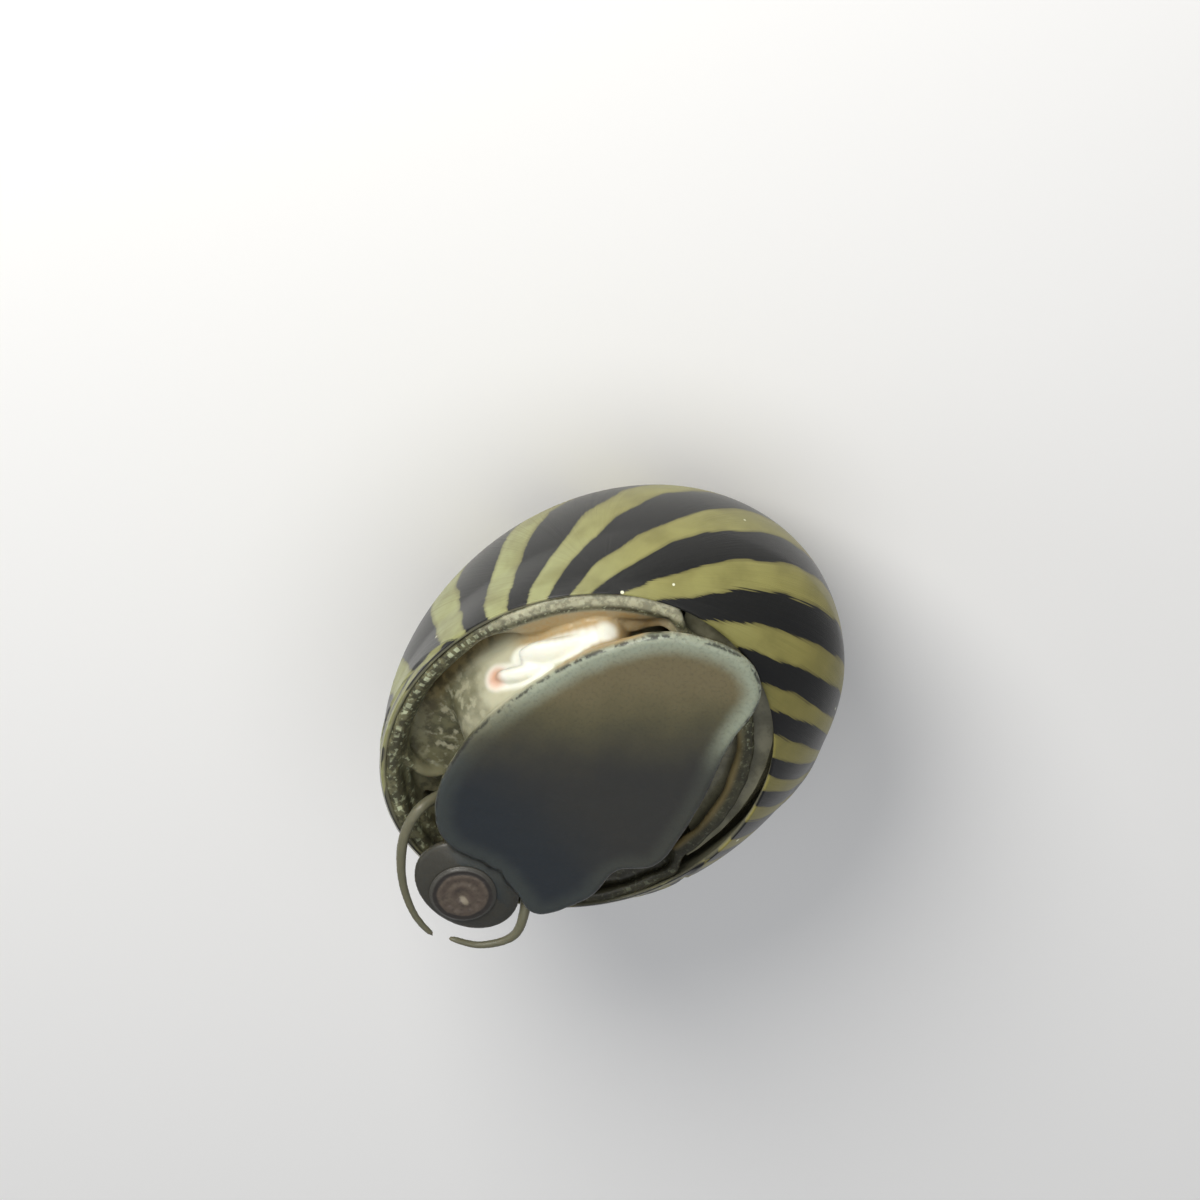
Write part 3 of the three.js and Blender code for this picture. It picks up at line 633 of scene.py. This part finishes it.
# a tube of changing radius along a curve, round at both ends
def limb(name, kind, points, radiusAt, flatness=1.0):
    columns, rows = limbForm[kind]
    stretch = limbForm["endStretch"]
    places = curveThrough(points, rows)

    def placeAt(turn, share):
        index = round(share * rows)
        middle = places[index]
        along = (places[min(index + 1, rows)] - places[max(index - 1, 0)]).normalized()
        side = along.cross(Vector((0, 0, 1))).normalized()
        upward = side.cross(along)
        toEnd = max(0.0, abs(2 * share - 1) * stretch - stretch + 1)
        radius = radiusAt(share) * math.sqrt(max(0.0, 1 - toEnd ** limbForm["endPower"]))
        return middle + (side * math.cos(turn) + upward * math.sin(turn) * flatness) * radius

    return shapedBall(name, columns, rows, placeAt)


def feelerRadius(share):
    early = blend(feelers["base"], feelers["middle"], smooth(share, 0.0, feelers["middleShare"]))
    return blend(early, feelers["tip"], smooth(share, feelers["middleShare"], 1.0))


def leafRadius(leaf):
    return lambda share: leaf["width"] * math.sqrt(math.sin(math.pi * blend(leafEnd, 1 - leafEnd, share)))


def ellipsoid(name, form):
    def placeAt(turn, share):
        ring = math.sin(math.pi * share)
        unit = Vector((ring * math.cos(turn), ring * math.sin(turn), math.cos(math.pi * share)))
        point = form["centre"] + Vector(a * b for a, b in zip(unit, form["size"]))
        point.z = min(point.z, form.get("flat", 0.0))
        return point

    return shapedBall(name, *limbForm["ball"], placeAt)


# how far the shell's outside lies from the middle of the rim, found by halving
def wallReach(turn, height):
    low, high = mantleSkirt["wallSearch"]
    for _ in range(mantleSkirt["wallHalvings"]):
        reach = (low + high) / 2
        point = mantleSkirt["centre"] + Vector((math.cos(turn) * reach, math.sin(turn) * reach, height))
        if domeLevel(point) < 1:
            low = reach
        else:
            high = reach
    return low


# the mantle's edge and the wall that it lines, as a ring of changing section
def mantlePlace(turn, share):
    degrees = math.degrees(turn)
    lip, shelf, deckSide = mantleSkirt["lip"], mantleSkirt["shelf"], mantleSkirt["deckSide"]
    onLip = smooth(degrees, lip["start"] - lip["before"], lip["start"] + lip["after"])
    onLip *= 1 - smooth(degrees, lip["end"] - lip["after"], lip["end"] + lip["before"])
    onShelf = smooth(degrees, shelf["start"], shelf["full"])
    onShelf *= 1 - smooth(degrees, shelf["fade"], shelf["end"])
    plain, shelved = mantleSkirt["plainSection"], mantleSkirt["shelfSection"]
    place = share * len(plain)
    index, part = int(place) % len(plain), place - int(place)
    following = (index + 1) % len(plain)
    reach, height = [
        blend(blend(plain[index][k], plain[following][k], part),
              blend(shelved[index][k], shelved[following][k], part), onShelf)
        for k in (0, 1)
    ]
    wall = wallReach(turn, height)
    rim = wallReach(turn, shell["rim"].z)
    reach += (wall if height > mantleSkirt["followHeight"] else rim) - mantleSkirt["rimRadius"]
    reach = min(reach, wall - (lip["clear"] if height > mantleSkirt["clearHeight"] else lip["wallClear"]))
    around = 2 * math.pi * share
    deckReach = rim - deckSide["inset"] + deckSide["width"] / 2 * math.cos(around)
    deckHeight = deckSide["level"] + deckSide["height"] / 2 * math.sin(around)
    form = mantleSkirt["wave"]
    across = Vector((math.cos(turn), math.sin(turn), 0))
    wave = form["height"] * noise.noise(across * form["waves"] + Vector((0, 0, form["slant"] * share)))
    reach = blend(deckReach, reach, onLip) + wave
    height = blend(deckHeight, height, onLip) + wave * form["rise"]
    return mantleSkirt["centre"] + across * reach + Vector((0, 0, height))


# a ring is a torus whose points are put by a formula
def shapedRing(name, columns, rows, placeAt):
    clearSelection()
    bpy.ops.mesh.primitive_torus_add(
        major_segments=columns, minor_segments=rows, major_radius=1.0, minor_radius=0.3,
    )
    ring = bpy.context.object
    ring.name = name
    for vertex in ring.data.vertices:
        turn = math.atan2(vertex.co.y, vertex.co.x) % (2 * math.pi)
        outward = math.hypot(vertex.co.x, vertex.co.y) - 1.0
        share = (math.atan2(vertex.co.z, outward) / (2 * math.pi)) % 1.0
        vertex.co = placeAt(turn, round(share * rows) / rows % 1.0)
    return ring


def applyModifier(piece, kind, **settings):
    makeActive(piece)
    modifier = piece.modifiers.new(kind.lower(), kind)
    for name, value in settings.items():
        setattr(modifier, name, value)
    bpy.ops.object.modifier_apply(modifier=modifier.name)


def makeSkin():
    parts = [
        shapedBall("skin", foot["columns"], footRows, footPlace),
        shapedRing("mantleRing", mantleSkirt["columns"], mantleSkirt["rows"], mantlePlace),
        ellipsoid("snoutForm", snout),
        ellipsoid("headForm", head),
    ]
    for side in ("left", "right"):
        parts.append(limb(side + "Feeler", "feeler", feelers[side], feelerRadius))
        parts.append(limb(side + "Stalk", "stalk", eyeStalks[side], lambda share: eyeStalks["radius"]))
    for name, leaf in leaves.items():
        flatness = leaf["thick"] / leaf["width"]
        parts.append(limb(name + "Leaf", "leaf", leaf["path"], leafRadius(leaf), flatness))
    makeActive(*parts)
    bpy.ops.object.join()
    piece = bpy.context.object
    applyModifier(piece, "REMESH", mode="VOXEL", voxel_size=skinForm["voxel"], use_smooth_shade=True)
    applyModifier(piece, "SMOOTH", factor=skinForm["smoothFactor"], iterations=skinForm["smoothing"])
    print("skin faces", len(piece.data.polygons))
    zoneSkin(piece)
    moveHome(piece)
    dressPiece(
        piece, skinMaterial(), "sole", "foot_front", "foot_middle", "foot_tail",
        "body_stalk", "body_hump", "head", "snout",
        "mantle_edge_rear", "mantle_edge_left", "mantle_edge_front_left", "mantle_edge_front",
        "mantle_edge_right", "mantle_lining", "gill_leaf_upper", "gill_leaf_lower",
        "eye_stalk_left", "eye_stalk_right",
        *[f"tentacle_{side}_{part}" for side in ("left", "right") for part in ("base", "middle", "tip")],
    )


def nearness(point, places, radius, softness):
    distance = min((point - place).length for place in places)
    return 1 - smooth(distance, radius, radius + softness)


# where each kind of flesh starts and is full, in millimetres, or in degrees round the rim for turns
zoneLimits = {
    "soleHeight": (-0.5, -0.1), "soleFront": -8.3, "frontEnd": -5.5,
    "bandReach": (7.6, 7.9), "wallReach": (6.9, 7.6), "bandHeight": (-3.3, -2.6),
    "feeler": (0.5, 0.3), "leaf": (0.5, 0.3), "leafTip": (0.2, 0.75),
    "shelfStart": (98, 112), "shelfEnd": (156, 172), "shelfHeight": (-3.4, -2.9),
    "shelfInner": (6.2, 6.5), "shelfOuter": (8.05, 8.35), "snoutEdge": (0.95, 1.1),
    "feelerSteps": 24, "feelerRoot": 2, "leafSteps": 12,
}


# where each kind of flesh lies, as values on the skin's points
def zoneSkin(piece):
    limits = zoneLimits
    names = "edge soleFace band wall leaf feeler snoutFace leafTip fromLip shelf"
    zones = {name: [] for name in names.split()}
    lipReach = [wallReach(math.radians(turn), mantleSkirt["lip"]["top"]) for turn in range(360)]
    tree = kdtree.KDTree(len(outline))
    for index, point in enumerate(outline):
        tree.insert(point, index)
    tree.balance()
    feelerPlaces = []
    for side in ("left", "right"):
        feelerPlaces += curveThrough(feelers[side], limits["feelerSteps"])[limits["feelerRoot"]:]
        feelerPlaces.append(Vector(eyeStalks[side][1]))
    leafPlaces = []
    for name in ("upper", "lower"):
        leafPlaces += curveThrough(leaves[name]["path"], limits["leafSteps"])
    leafTip = Vector(leaves["lower"]["path"][0])
    for vertex in piece.data.vertices:
        point = vertex.co
        flat = Vector((point.x, point.y, 0))
        fromCentre = flat - mantleSkirt["centre"]
        turn = math.degrees(math.atan2(fromCentre.y, fromCentre.x)) % 360
        fromRim = fromCentre.length + mantleSkirt["rimRadius"] - lipReach[int(turn) % 360]
        isFront = point.y < limits["frontEnd"]
        onSnout = point - snout["centre"]
        zones["edge"].append(tree.find(flat)[2])
        isSole = point.y > limits["soleFront"]
        zones["soleFace"].append(smooth(point.z, *limits["soleHeight"]) if isSole else 0.0)
        high = smooth(point.z, *limits["bandHeight"])
        zones["band"].append(smooth(fromRim, *limits["bandReach"]) * high)
        zones["wall"].append(smooth(fromRim, *limits["wallReach"]) * (1 - high))
        zones["feeler"].append(nearness(point, feelerPlaces, *limits["feeler"]) if isFront else 0.0)
        isPlain = isFront or point.x > 0
        zones["leaf"].append(0.0 if isPlain else nearness(point, leafPlaces, *limits["leaf"]))
        zones["leafTip"].append(1 - smooth((point - leafTip).length, *limits["leafTip"]))
        zones["fromLip"].append(mantleSkirt["rimRadius"] - fromRim)
        onShelf = smooth(turn, *limits["shelfStart"]) * (1 - smooth(turn, *limits["shelfEnd"]))
        onShelf *= smooth(point.z, *limits["shelfHeight"]) * smooth(fromRim, *limits["shelfInner"])
        zones["shelf"].append(onShelf * (1 - smooth(fromRim, *limits["shelfOuter"])))
        fromSnout = math.hypot(onSnout.x / snout["size"].x, onSnout.y / snout["size"].y)
        zones["snoutFace"].append(1 - smooth(fromSnout, *limits["snoutEdge"]))
    for name, values in zones.items():
        piece.data.attributes.new(name, "FLOAT", "POINT").data.foreach_set("value", values)


def skinMaterial():
    paint = Paint("moistFlesh")
    looks = {
        "slate": (0.034, 0.034, 0.031), "blueShadedSlate": (0.021, 0.026, 0.031),
        "oliveLitSole": (0.110, 0.100, 0.052), "tanSolePaintedLight": (0.19, 0.155, 0.085), "margin": (0.29, 0.32, 0.24),
        "outline": (0.010, 0.010, 0.009), "cream": (0.50, 0.485, 0.34), "creamShade": (0.20, 0.19, 0.12),
        "pearl": (0.80, 0.80, 0.70), "peach": (0.66, 0.33, 0.19), "orange": (0.42, 0.27, 0.10),
        "brownWall": (0.22, 0.175, 0.08), "dark": (0.030, 0.028, 0.018), "mottle": (0.14, 0.135, 0.075),
        "beads": (0.44, 0.47, 0.31), "hollow": (0.15, 0.125, 0.055), "feeler": (0.13, 0.125, 0.08),
        "snout": (0.048, 0.046, 0.037), "fold": (0.21, 0.20, 0.12), "tan": (0.40, 0.31, 0.17),
        "mantleRadius": 8.4, "beadGap": 0.46, "beadRow": 0.60, "beadHalfLength": (0.22, 0.30),
        "beadHalfWidth": (0.09, 0.15), "marginWidth": (0.30, 1.25), "outlineWidth": (0.06, 0.16),
        "broadScale": 0.35, "middleScale": 1.4, "fineScale": 6.0,
    }
    x, y = paint.part(paint.place, 0), paint.part(paint.place, 1)
    z = paint.part(paint.place, 2)
    edge = paint.attribute("edge")
    soleFace = paint.attribute("soleFace")
    broad = paint.noise(paint.place, looks["broadScale"], 3.0)
    middle = paint.noise(paint.place, looks["middleScale"], 4.0)
    fine = paint.noise(paint.place, looks["fineScale"], 4.0)

    # the sole is slate in the middle; towards the left and the tail it is olive and lighter, partly its own
    # tone and partly painted light, with a tan painted highlight; at the front it is bluish and darker,
    # partly painted shade
    leftward = x * -0.62 + y * 0.54
    # partly painted shade: the front of the sole is made darker and bluish
    sole = paint.mix(paint.step(y + (broad - 0.5) * 3, -1.0, -6.0), looks["slate"], looks["blueShadedSlate"])
    # partly painted light: the olive grows over the sole towards the left, where the light falls
    sole = paint.mix(paint.step(leftward + (broad - 0.5) * 2.5, -0.5, 4.0), sole, looks["oliveLitSole"])
    # painted highlight: a warm tan patch on the left of the sole
    paintedWarmLight = paint.step(leftward + (broad - 0.5) * 2, 2.2, 4.4) * paint.step(y, -5.0, -1.0)
    sole = paint.mix(paintedWarmLight * 0.6, sole, looks["tanSolePaintedLight"])
    rearward = paint.step(leftward + y * 0.3 + (broad - 0.5) * 2, 0.3, 5.0)
    margin = 1 - paint.step(edge + (middle - 0.5) * 0.35, *looks["marginWidth"])
    margin = margin * (0.08 + 0.92 * rearward)
    sole = paint.mix(margin, sole, looks["margin"])
    sole = paint.mix(paint.step(fine, 0.45, 0.75) * 0.22, sole, looks["slate"])
    beaded = paint.step(paint.noise(paint.place, 2.6, 2.0), 0.42, 0.56)
    rimLine = (1 - paint.step(edge, *looks["outlineWidth"])) * paint.step(z, -0.45, -0.12) * beaded
    sole = paint.mix(rimLine * 0.85, sole, looks["outline"])

    # the flank is cream beside the foot's hinder half, speckled grey and dark towards the head
    shade = paint.step(y * -1 + (broad - 0.5) * 4.5 + (middle - 0.5) * 1.5, 0.8, 3.6)
    flank = paint.mix(paint.step(z + (broad - 0.5), -2.6, -3.9), looks["cream"], looks["creamShade"])
    flank = paint.mix(shade, flank, looks["mottle"])
    clouds = paint.step(paint.noise(paint.place, 1.6, 4.0, 0.6), 0.40, 0.62)
    flank = paint.mix(clouds * paint.step(y, -2.0, -5.0) * 0.6, flank, looks["dark"])
    pale = paint.step(paint.noise(paint.place, 2.2, 3.0), 0.50, 0.66)
    flank = paint.mix(pale * shade * 0.6, flank, looks["cream"])
    rightSide = paint.step(x - y * 0.3, -0.5, 2.5)
    flank = paint.mix(rightSide, flank, looks["brownWall"])

    # the lining shines through brown to orange at the hinder left, dark towards the head
    wall = paint.mix(paint.step(y + (broad - 0.5) * 2, -3.2, -6.0), looks["brownWall"], looks["fold"])
    wall = paint.mix(clouds * 0.6, wall, looks["dark"])
    hollow = paint.step(z + (broad - 0.5), -2.9, -3.5) * paint.step(leftward, 0.5, 2.0)
    flank = paint.mix(hollow * paint.step(y, 0.0, -2.5), flank, looks["hollow"])
    colour = paint.mix(paint.attribute("wall"), flank, wall)
    shelf = paint.mix(paint.step(fine + middle, 0.8, 1.25) * 0.6, looks["tan"], looks["orange"])
    colour = paint.mix(paint.attribute("shelf"), colour, shelf)
    fold = paint.step(y, -5.6, -6.3) * paint.step(x, -2.2, -3.2) * paint.step(z, -3.4, -2.7)
    colour = paint.mix(fold * 0.9, colour, looks["fold"])
    leaf = paint.attribute("leaf") * paint.step(z, -3.0, -2.3)
    colour = paint.mix(leaf, colour, looks["pearl"])
    colour = paint.mix(paint.attribute("leafTip") * 0.8, colour, looks["peach"])

    # the mantle's edge: dark with cloudy olive, and a row of squarish pale beads near the lip
    rimX = x - mantleSkirt["centre"].x
    rimY = y - mantleSkirt["centre"].y
    along = paint.maths("ARCTAN2", rimY, rimX) * looks["mantleRadius"]
    inward = paint.attribute("fromLip")
    beadPlace = paint.join(along / looks["beadGap"], (inward - looks["beadRow"]) / looks["beadGap"])
    jitter = paint.noise(beadPlace, 0.9, 1.0) - 0.5
    beadAlong = paint.fromWhole(along / looks["beadGap"] + jitter * 0.5 + 0.5)
    beadAcross = paint.maths("ABSOLUTE", inward - looks["beadRow"] + jitter * 0.12)
    bead = 1 - paint.step(beadAlong + jitter * 0.6, *looks["beadHalfLength"])
    bead = bead * (1 - paint.step(beadAcross, *looks["beadHalfWidth"]))
    bead = bead * paint.step(paint.noise(paint.place, 1.3, 2.0), 0.47, 0.58)
    specks = paint.step(paint.noise(beadPlace, 2.2, 3.0), 0.56, 0.66)
    blotch = paint.step(paint.noise(paint.place, 1.8, 4.0, 0.65), 0.42, 0.60)
    band = paint.mix(0.25 + blotch * 0.7, looks["dark"], looks["mottle"])
    band = paint.mix(specks * 0.5, band, looks["beads"])
    band = paint.mix(bead * (0.55 + 0.45 * blotch), band, looks["beads"])
    creamLip = paint.step(leftward, 5.2, 6.4) * (1 - paint.step(inward, 0.7, 1.0))
    band = paint.mix(creamLip * paint.step(x, -1.5, -3.5) * (0.45 + 0.4 * blotch), band, looks["cream"])
    # painted shade: the mantle's edge is darkened on the right side, under the foot
    band = paint.mix(paint.step(x - y * 0.35, 1.0, 4.0) * 0.75, band, looks["dark"])
    colour = paint.mix(paint.attribute("band") * (1 - paint.attribute("shelf")), colour, band)
    colour = paint.mix(paint.attribute("feeler"), colour, looks["feeler"])
    colour = paint.mix(paint.attribute("snoutFace") * paint.step(z, -1.6, -0.9), colour, looks["snout"])
    colour = paint.mix(soleFace, colour, sole)

    height = middle * 1.2 + fine * 0.45 * (1 - soleFace * 0.6) - bead * 0.3
    roughness = 0.32 + 0.18 * fine
    return paint.finish({
        "Base Color": colour, "Roughness": roughness, "IOR": 1.35,
        "Coat Weight": 0.12, "Coat Roughness": 0.15,
        "Subsurface Weight": 0.3, "Subsurface Radius": (1.0, 0.7, 0.45), "Subsurface Scale": 0.0005,
    }, height, 0.03)


makeSkin()
print("skin made")


def eyeMaterial(side):
    paint = Paint(side + "EyeGloss")
    looks = {"black": (0.006, 0.006, 0.010), "grey": (0.03, 0.025, 0.03), "scale": 3.0}
    colour = paint.mix(paint.noise(paint.place, looks["scale"], 3.0), looks["black"], looks["grey"])
    return paint.finish({
        "Base Color": colour, "Roughness": 0.08, "Coat Weight": 1.0, "Coat Roughness": 0.03,
    })


def makeEyes():
    for side in ("left", "right"):
        root, tip = [Vector(point) for point in eyeStalks[side]]
        clearSelection()
        bpy.ops.mesh.primitive_uv_sphere_add(
            segments=eyeStalks["eyeColumns"], ring_count=eyeStalks["eyeRows"], radius=eyeStalks["eyeRadius"],
        )
        eye = bpy.context.object
        eye.name = side + "Eye"
        eye.data.transform(Matrix.Translation(tip + (tip - root).normalized() * eyeStalks["eyeOut"]))
        moveHome(eye)
        dressPiece(eye, eyeMaterial(side), "eye", "eye_" + side)


makeEyes()
print("eyes made")


# mouth: a disc of soft rings round a slit, turned from its half section

mouth = {
    "radius": 1.55, "thickness": 0.30, "rise": 0.06, "rings": 3, "ringDepth": 0.035,
    "dip": 0.12, "dipRadius": 0.42, "edgeDrop": 0.14, "edgeStart": 0.88, "baseShare": 0.96,
    "puckers": 14, "puckerHeight": 0.006, "puckerStart": (0.3, 0.9), "puckerEnd": (1.1, 1.5),
    "faceBottom": -0.25, "steps": 40, "turns": 96, "weld": 0.0005, "radula": Vector((0.28, -0.16, 0)),
}


def mouthProfile():
    centre = Vector((soleFrame["mouthX"], soleFrame["mouthY"], 0))
    face = []
    for step in range(mouth["steps"] + 1):
        share = step / mouth["steps"]
        ripple = -mouth["ringDepth"] * (0.5 - 0.5 * math.cos(2 * math.pi * mouth["rings"] * share))
        edgeDrop = -mouth["edgeDrop"] * smooth(share, mouth["edgeStart"], 1.0)
        dip = -mouth["dip"] * (1 - smooth(share * mouth["radius"], 0.0, mouth["dipRadius"]))
        face.append(centre + Vector((share * mouth["radius"], 0, mouth["rise"] + ripple + edgeDrop + dip)))
    base = centre + Vector((mouth["radius"] * mouth["baseShare"], 0, -mouth["thickness"]))
    return [*face, base, centre + Vector((0, 0, -mouth["thickness"]))]


def makeMouth():
    places = mouthProfile()
    clearSelection()
    bpy.ops.mesh.primitive_plane_add(size=1.0)
    disc = bpy.context.object
    disc.name = "mouthDisc"
    disc.data.clear_geometry()
    edges = [(k, k + 1) for k in range(len(places) - 1)]
    disc.data.from_pydata([tuple(place) for place in places], edges, [])
    makeActive(disc)
    bpy.ops.object.mode_set(mode="EDIT")
    bpy.ops.mesh.select_all(action="SELECT")
    bpy.ops.mesh.spin(
        steps=mouth["turns"], angle=2 * math.pi, center=places[0], axis=(0, 0, 1), use_auto_merge=True,
    )
    bpy.ops.mesh.select_all(action="SELECT")
    bpy.ops.mesh.remove_doubles(threshold=mouth["weld"])
    bpy.ops.mesh.normals_make_consistent(inside=False)
    bpy.ops.object.mode_set(mode="OBJECT")
    for vertex in disc.data.vertices:
        away = vertex.co - places[0]
        turn = math.atan2(away.y, away.x)
        onLips = smooth(away.length, *mouth["puckerStart"]) * (1 - smooth(away.length, *mouth["puckerEnd"]))
        pucker = mouth["puckerHeight"] * math.cos(mouth["puckers"] * turn) * onLips
        vertex.co.z += pucker if vertex.co.z > mouth["faceBottom"] else 0
    moveHome(disc)
    dressPiece(disc, mouthMaterial(), "mouth", "mouth")


def mouthMaterial():
    paint = Paint("ringedMouth")
    looks = {
        "dark": (0.022, 0.018, 0.015), "brown": (0.070, 0.052, 0.039), "pale": (0.105, 0.083, 0.060),
        "lip": (0.050, 0.047, 0.038), "radula": (0.20, 0.17, 0.12),
        "darkRing": (1.12, 1.24), "lipRing": (1.33, 1.44), "radulaReach": (0.16, 0.34),
    }
    fromCentre = paint.vector("SUBTRACT", paint.place, (soleFrame["mouthX"], soleFrame["mouthY"], 0))
    flat = paint.join(paint.part(fromCentre, 0), paint.part(fromCentre, 1))
    reach = paint.vector("LENGTH", flat, (0, 0, 0), "Value")
    uneven = paint.noise(paint.place, 1.6, 3.0)
    fine = paint.noise(paint.place, 7.0, 3.0)
    rings = 2 * math.pi * mouth["rings"] / mouth["radius"]
    wave = paint.maths("SINE", (reach + (uneven - 0.5) * 0.22) * rings)
    paler = paint.step(wave, -0.9, 0.9) * 0.4 + paint.step(uneven, 0.4, 0.7) * 0.4
    colour = paint.mix(paler, looks["brown"], looks["pale"])
    colour = paint.mix(paint.step(fine, 0.5, 0.75) * 0.4, colour, looks["dark"])
    darkRing = paint.step(reach + (uneven - 0.5) * 0.15, *looks["darkRing"])
    colour = paint.mix(darkRing, colour, looks["dark"])
    lipRing = paint.step(reach + (uneven - 0.5) * 0.1, *looks["lipRing"])
    colour = paint.mix(lipRing, colour, looks["lip"])
    slit = paint.vector("SUBTRACT", flat, tuple(mouth["radula"]))
    spot = paint.vector("LENGTH", paint.vector("MULTIPLY", slit, (1.0, 1.8, 1.0)), (0, 0, 0), "Value")
    onRadula = 1 - paint.step(spot + (fine - 0.5) * 0.1, *looks["radulaReach"])
    colour = paint.mix(onRadula, colour, looks["radula"])
    return paint.finish({
        "Base Color": colour, "Roughness": 0.35 + 0.15 * fine, "Coat Weight": 0.1, "Coat Roughness": 0.2,
    }, fine * 0.7 + uneven, 0.03)


makeMouth()
print("mouth made")


# the shelf of the inner lip and the lid: their own finishes on the solids; the shelf's dark olive colours are
# painted shade over a paler shelf

def deckMaterial():
    paint = Paint("polishedDeckPaintedShade")
    # painted shade: the shelf's colours are kept dark olive; the real shelf is paler
    looks = {"base": (0.13, 0.125, 0.08), "pale": (0.24, 0.23, 0.155), "stain": (0.055, 0.05, 0.03)}
    clouds = paint.noise(paint.place, 0.7, 4.0)
    fine = paint.noise(paint.place, 3.5, 4.0)
    colour = paint.mix(paint.step(clouds, 0.35, 0.65), looks["base"], looks["pale"])
    colour = paint.mix(paint.step(fine, 0.5, 0.75) * 0.5, colour, looks["stain"])
    return paint.finish({
        "Base Color": colour, "Roughness": 0.18 + 0.15 * fine, "Coat Weight": 0.5, "Coat Roughness": 0.08,
    }, clouds + fine * 0.3, 0.03)


def operculumMaterial():
    paint = Paint("hornyLid")
    looks = {
        "base": (0.085, 0.065, 0.040), "pale": (0.28, 0.24, 0.16), "line": (0.03, 0.02, 0.012), "arcs": 14,
    }
    low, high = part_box("operculum")
    nucleus = Vector(((low.x + high.x) / 2, low.y, 0)) / mm - home
    away = paint.vector("SUBTRACT", paint.place, (nucleus.x, nucleus.y, 0))
    flat = paint.join(paint.part(away, 0), paint.part(away, 1))
    reach = paint.vector("LENGTH", flat, (0, 0, 0), "Value")
    uneven = paint.noise(paint.place, 0.9, 3.0)
    arcs = paint.maths("SINE", (reach + uneven * 0.5) * looks["arcs"])
    colour = paint.mix(paint.step(uneven, 0.35, 0.7), looks["base"], looks["pale"])
    colour = paint.mix(paint.step(arcs, 0.55, 0.95) * 0.7, colour, looks["line"])
    return paint.finish({
        "Base Color": colour, "Roughness": 0.30 + 0.2 * uneven, "Coat Weight": 0.3,
    }, arcs * 0.5 + uneven, 0.02)


nodeFinishes = {"shell_deck": deckMaterial(), "operculum": operculumMaterial()}
for name, finish in nodeFinishes.items():
    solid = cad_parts[name]
    solid.data.materials.clear()
    solid.data.materials.append(finish)
print("deck and lid finished")


# camera, light and floor

studio = {
    "towards": Vector((-0.433, 0.376, 0.819)), "right": Vector((0.656, 0.755, 0.0)),
    "millimetresPerPixel": 0.0457, "imageSize": 1200, "originPixel": (597.0, 774.0), "distance": 420.0,
    "sensor": 36.0, "clip": (0.005, 10.0),
    "floorColour": (0.86, 0.855, 0.84), "floorSize": 4.0,
    "skyColour": (0.90, 0.93, 1.0), "skyStrength": 0.28, "lightTarget": Vector((0, 0, -7)),
    "lights": {
        "key": {"direction": (-0.85, 0.3, 0.6), "distance": 170, "size": 90, "power": 0.26,
                "colour": (1.0, 0.98, 0.94)},
        "top": {"direction": (-0.1, 0.2, 1.0), "distance": 260, "size": 240, "power": 0.20,
                "colour": (1.0, 1.0, 1.0)},
        "fill": {"direction": (-0.8, -0.7, 0.5), "distance": 240, "size": 160, "power": 0.05,
                 "colour": (0.93, 0.96, 1.0)},
    },
}


def makeCamera():
    towards = studio["towards"].normalized()
    right = studio["right"].normalized()
    right = (right - towards * right.dot(towards)).normalized()
    upward = towards.cross(right)
    half = studio["imageSize"] / 2
    aside = (half - studio["originPixel"][0]) * studio["millimetresPerPixel"]
    rise = (studio["originPixel"][1] - half) * studio["millimetresPerPixel"]
    target = home + right * aside + upward * rise
    camera = bpy.data.objects.new("camera", bpy.data.cameras.new("camera"))
    bpy.context.scene.collection.objects.link(camera)
    turned = Matrix((right, upward, towards)).transposed().to_4x4()
    camera.matrix_world = Matrix.Translation((target + towards * studio["distance"]) * mm) @ turned
    width = studio["imageSize"] * studio["millimetresPerPixel"]
    camera.data.sensor_width = studio["sensor"]
    camera.data.sensor_height = studio["sensor"]
    camera.data.sensor_fit = "HORIZONTAL"
    camera.data.lens = studio["sensor"] * studio["distance"] / width
    camera.data.clip_start, camera.data.clip_end = studio["clip"]
    bpy.context.scene.camera = camera


def makeLights():
    for name, form in studio["lights"].items():
        light = bpy.data.objects.new(name, bpy.data.lights.new(name, "AREA"))
        bpy.context.scene.collection.objects.link(light)
        light.data.shape = "DISK"
        light.data.size = form["size"] * mm
        light.data.energy = form["power"]
        light.data.color = form["colour"]
        direction = Vector(form["direction"]).normalized()
        light.location = (home + studio["lightTarget"] + direction * form["distance"]) * mm
        light.rotation_euler = direction.to_track_quat("Z", "Y").to_euler()


def makeFloor():
    clearSelection()
    bpy.ops.mesh.primitive_plane_add(size=studio["floorSize"], location=(0, 0, 0))
    floor = bpy.context.object
    floor.name = "floor"
    paint = Paint("paleFloor")
    matt = {"Base Color": (*studio["floorColour"], 1.0), "Roughness": 1.0, "Specular IOR Level": 0.2}
    floor.data.materials.append(paint.finish(matt))


def makeSky():
    world = bpy.data.worlds.new("world")
    bpy.context.scene.world = world
    world.use_nodes = True
    background = world.node_tree.nodes["Background"]
    background.inputs["Color"].default_value = (*studio["skyColour"], 1.0)
    background.inputs["Strength"].default_value = studio["skyStrength"]
    bpy.context.scene.view_settings.view_transform = "Standard"


makeCamera()
makeLights()
makeFloor()
makeSky()
print("studio made")
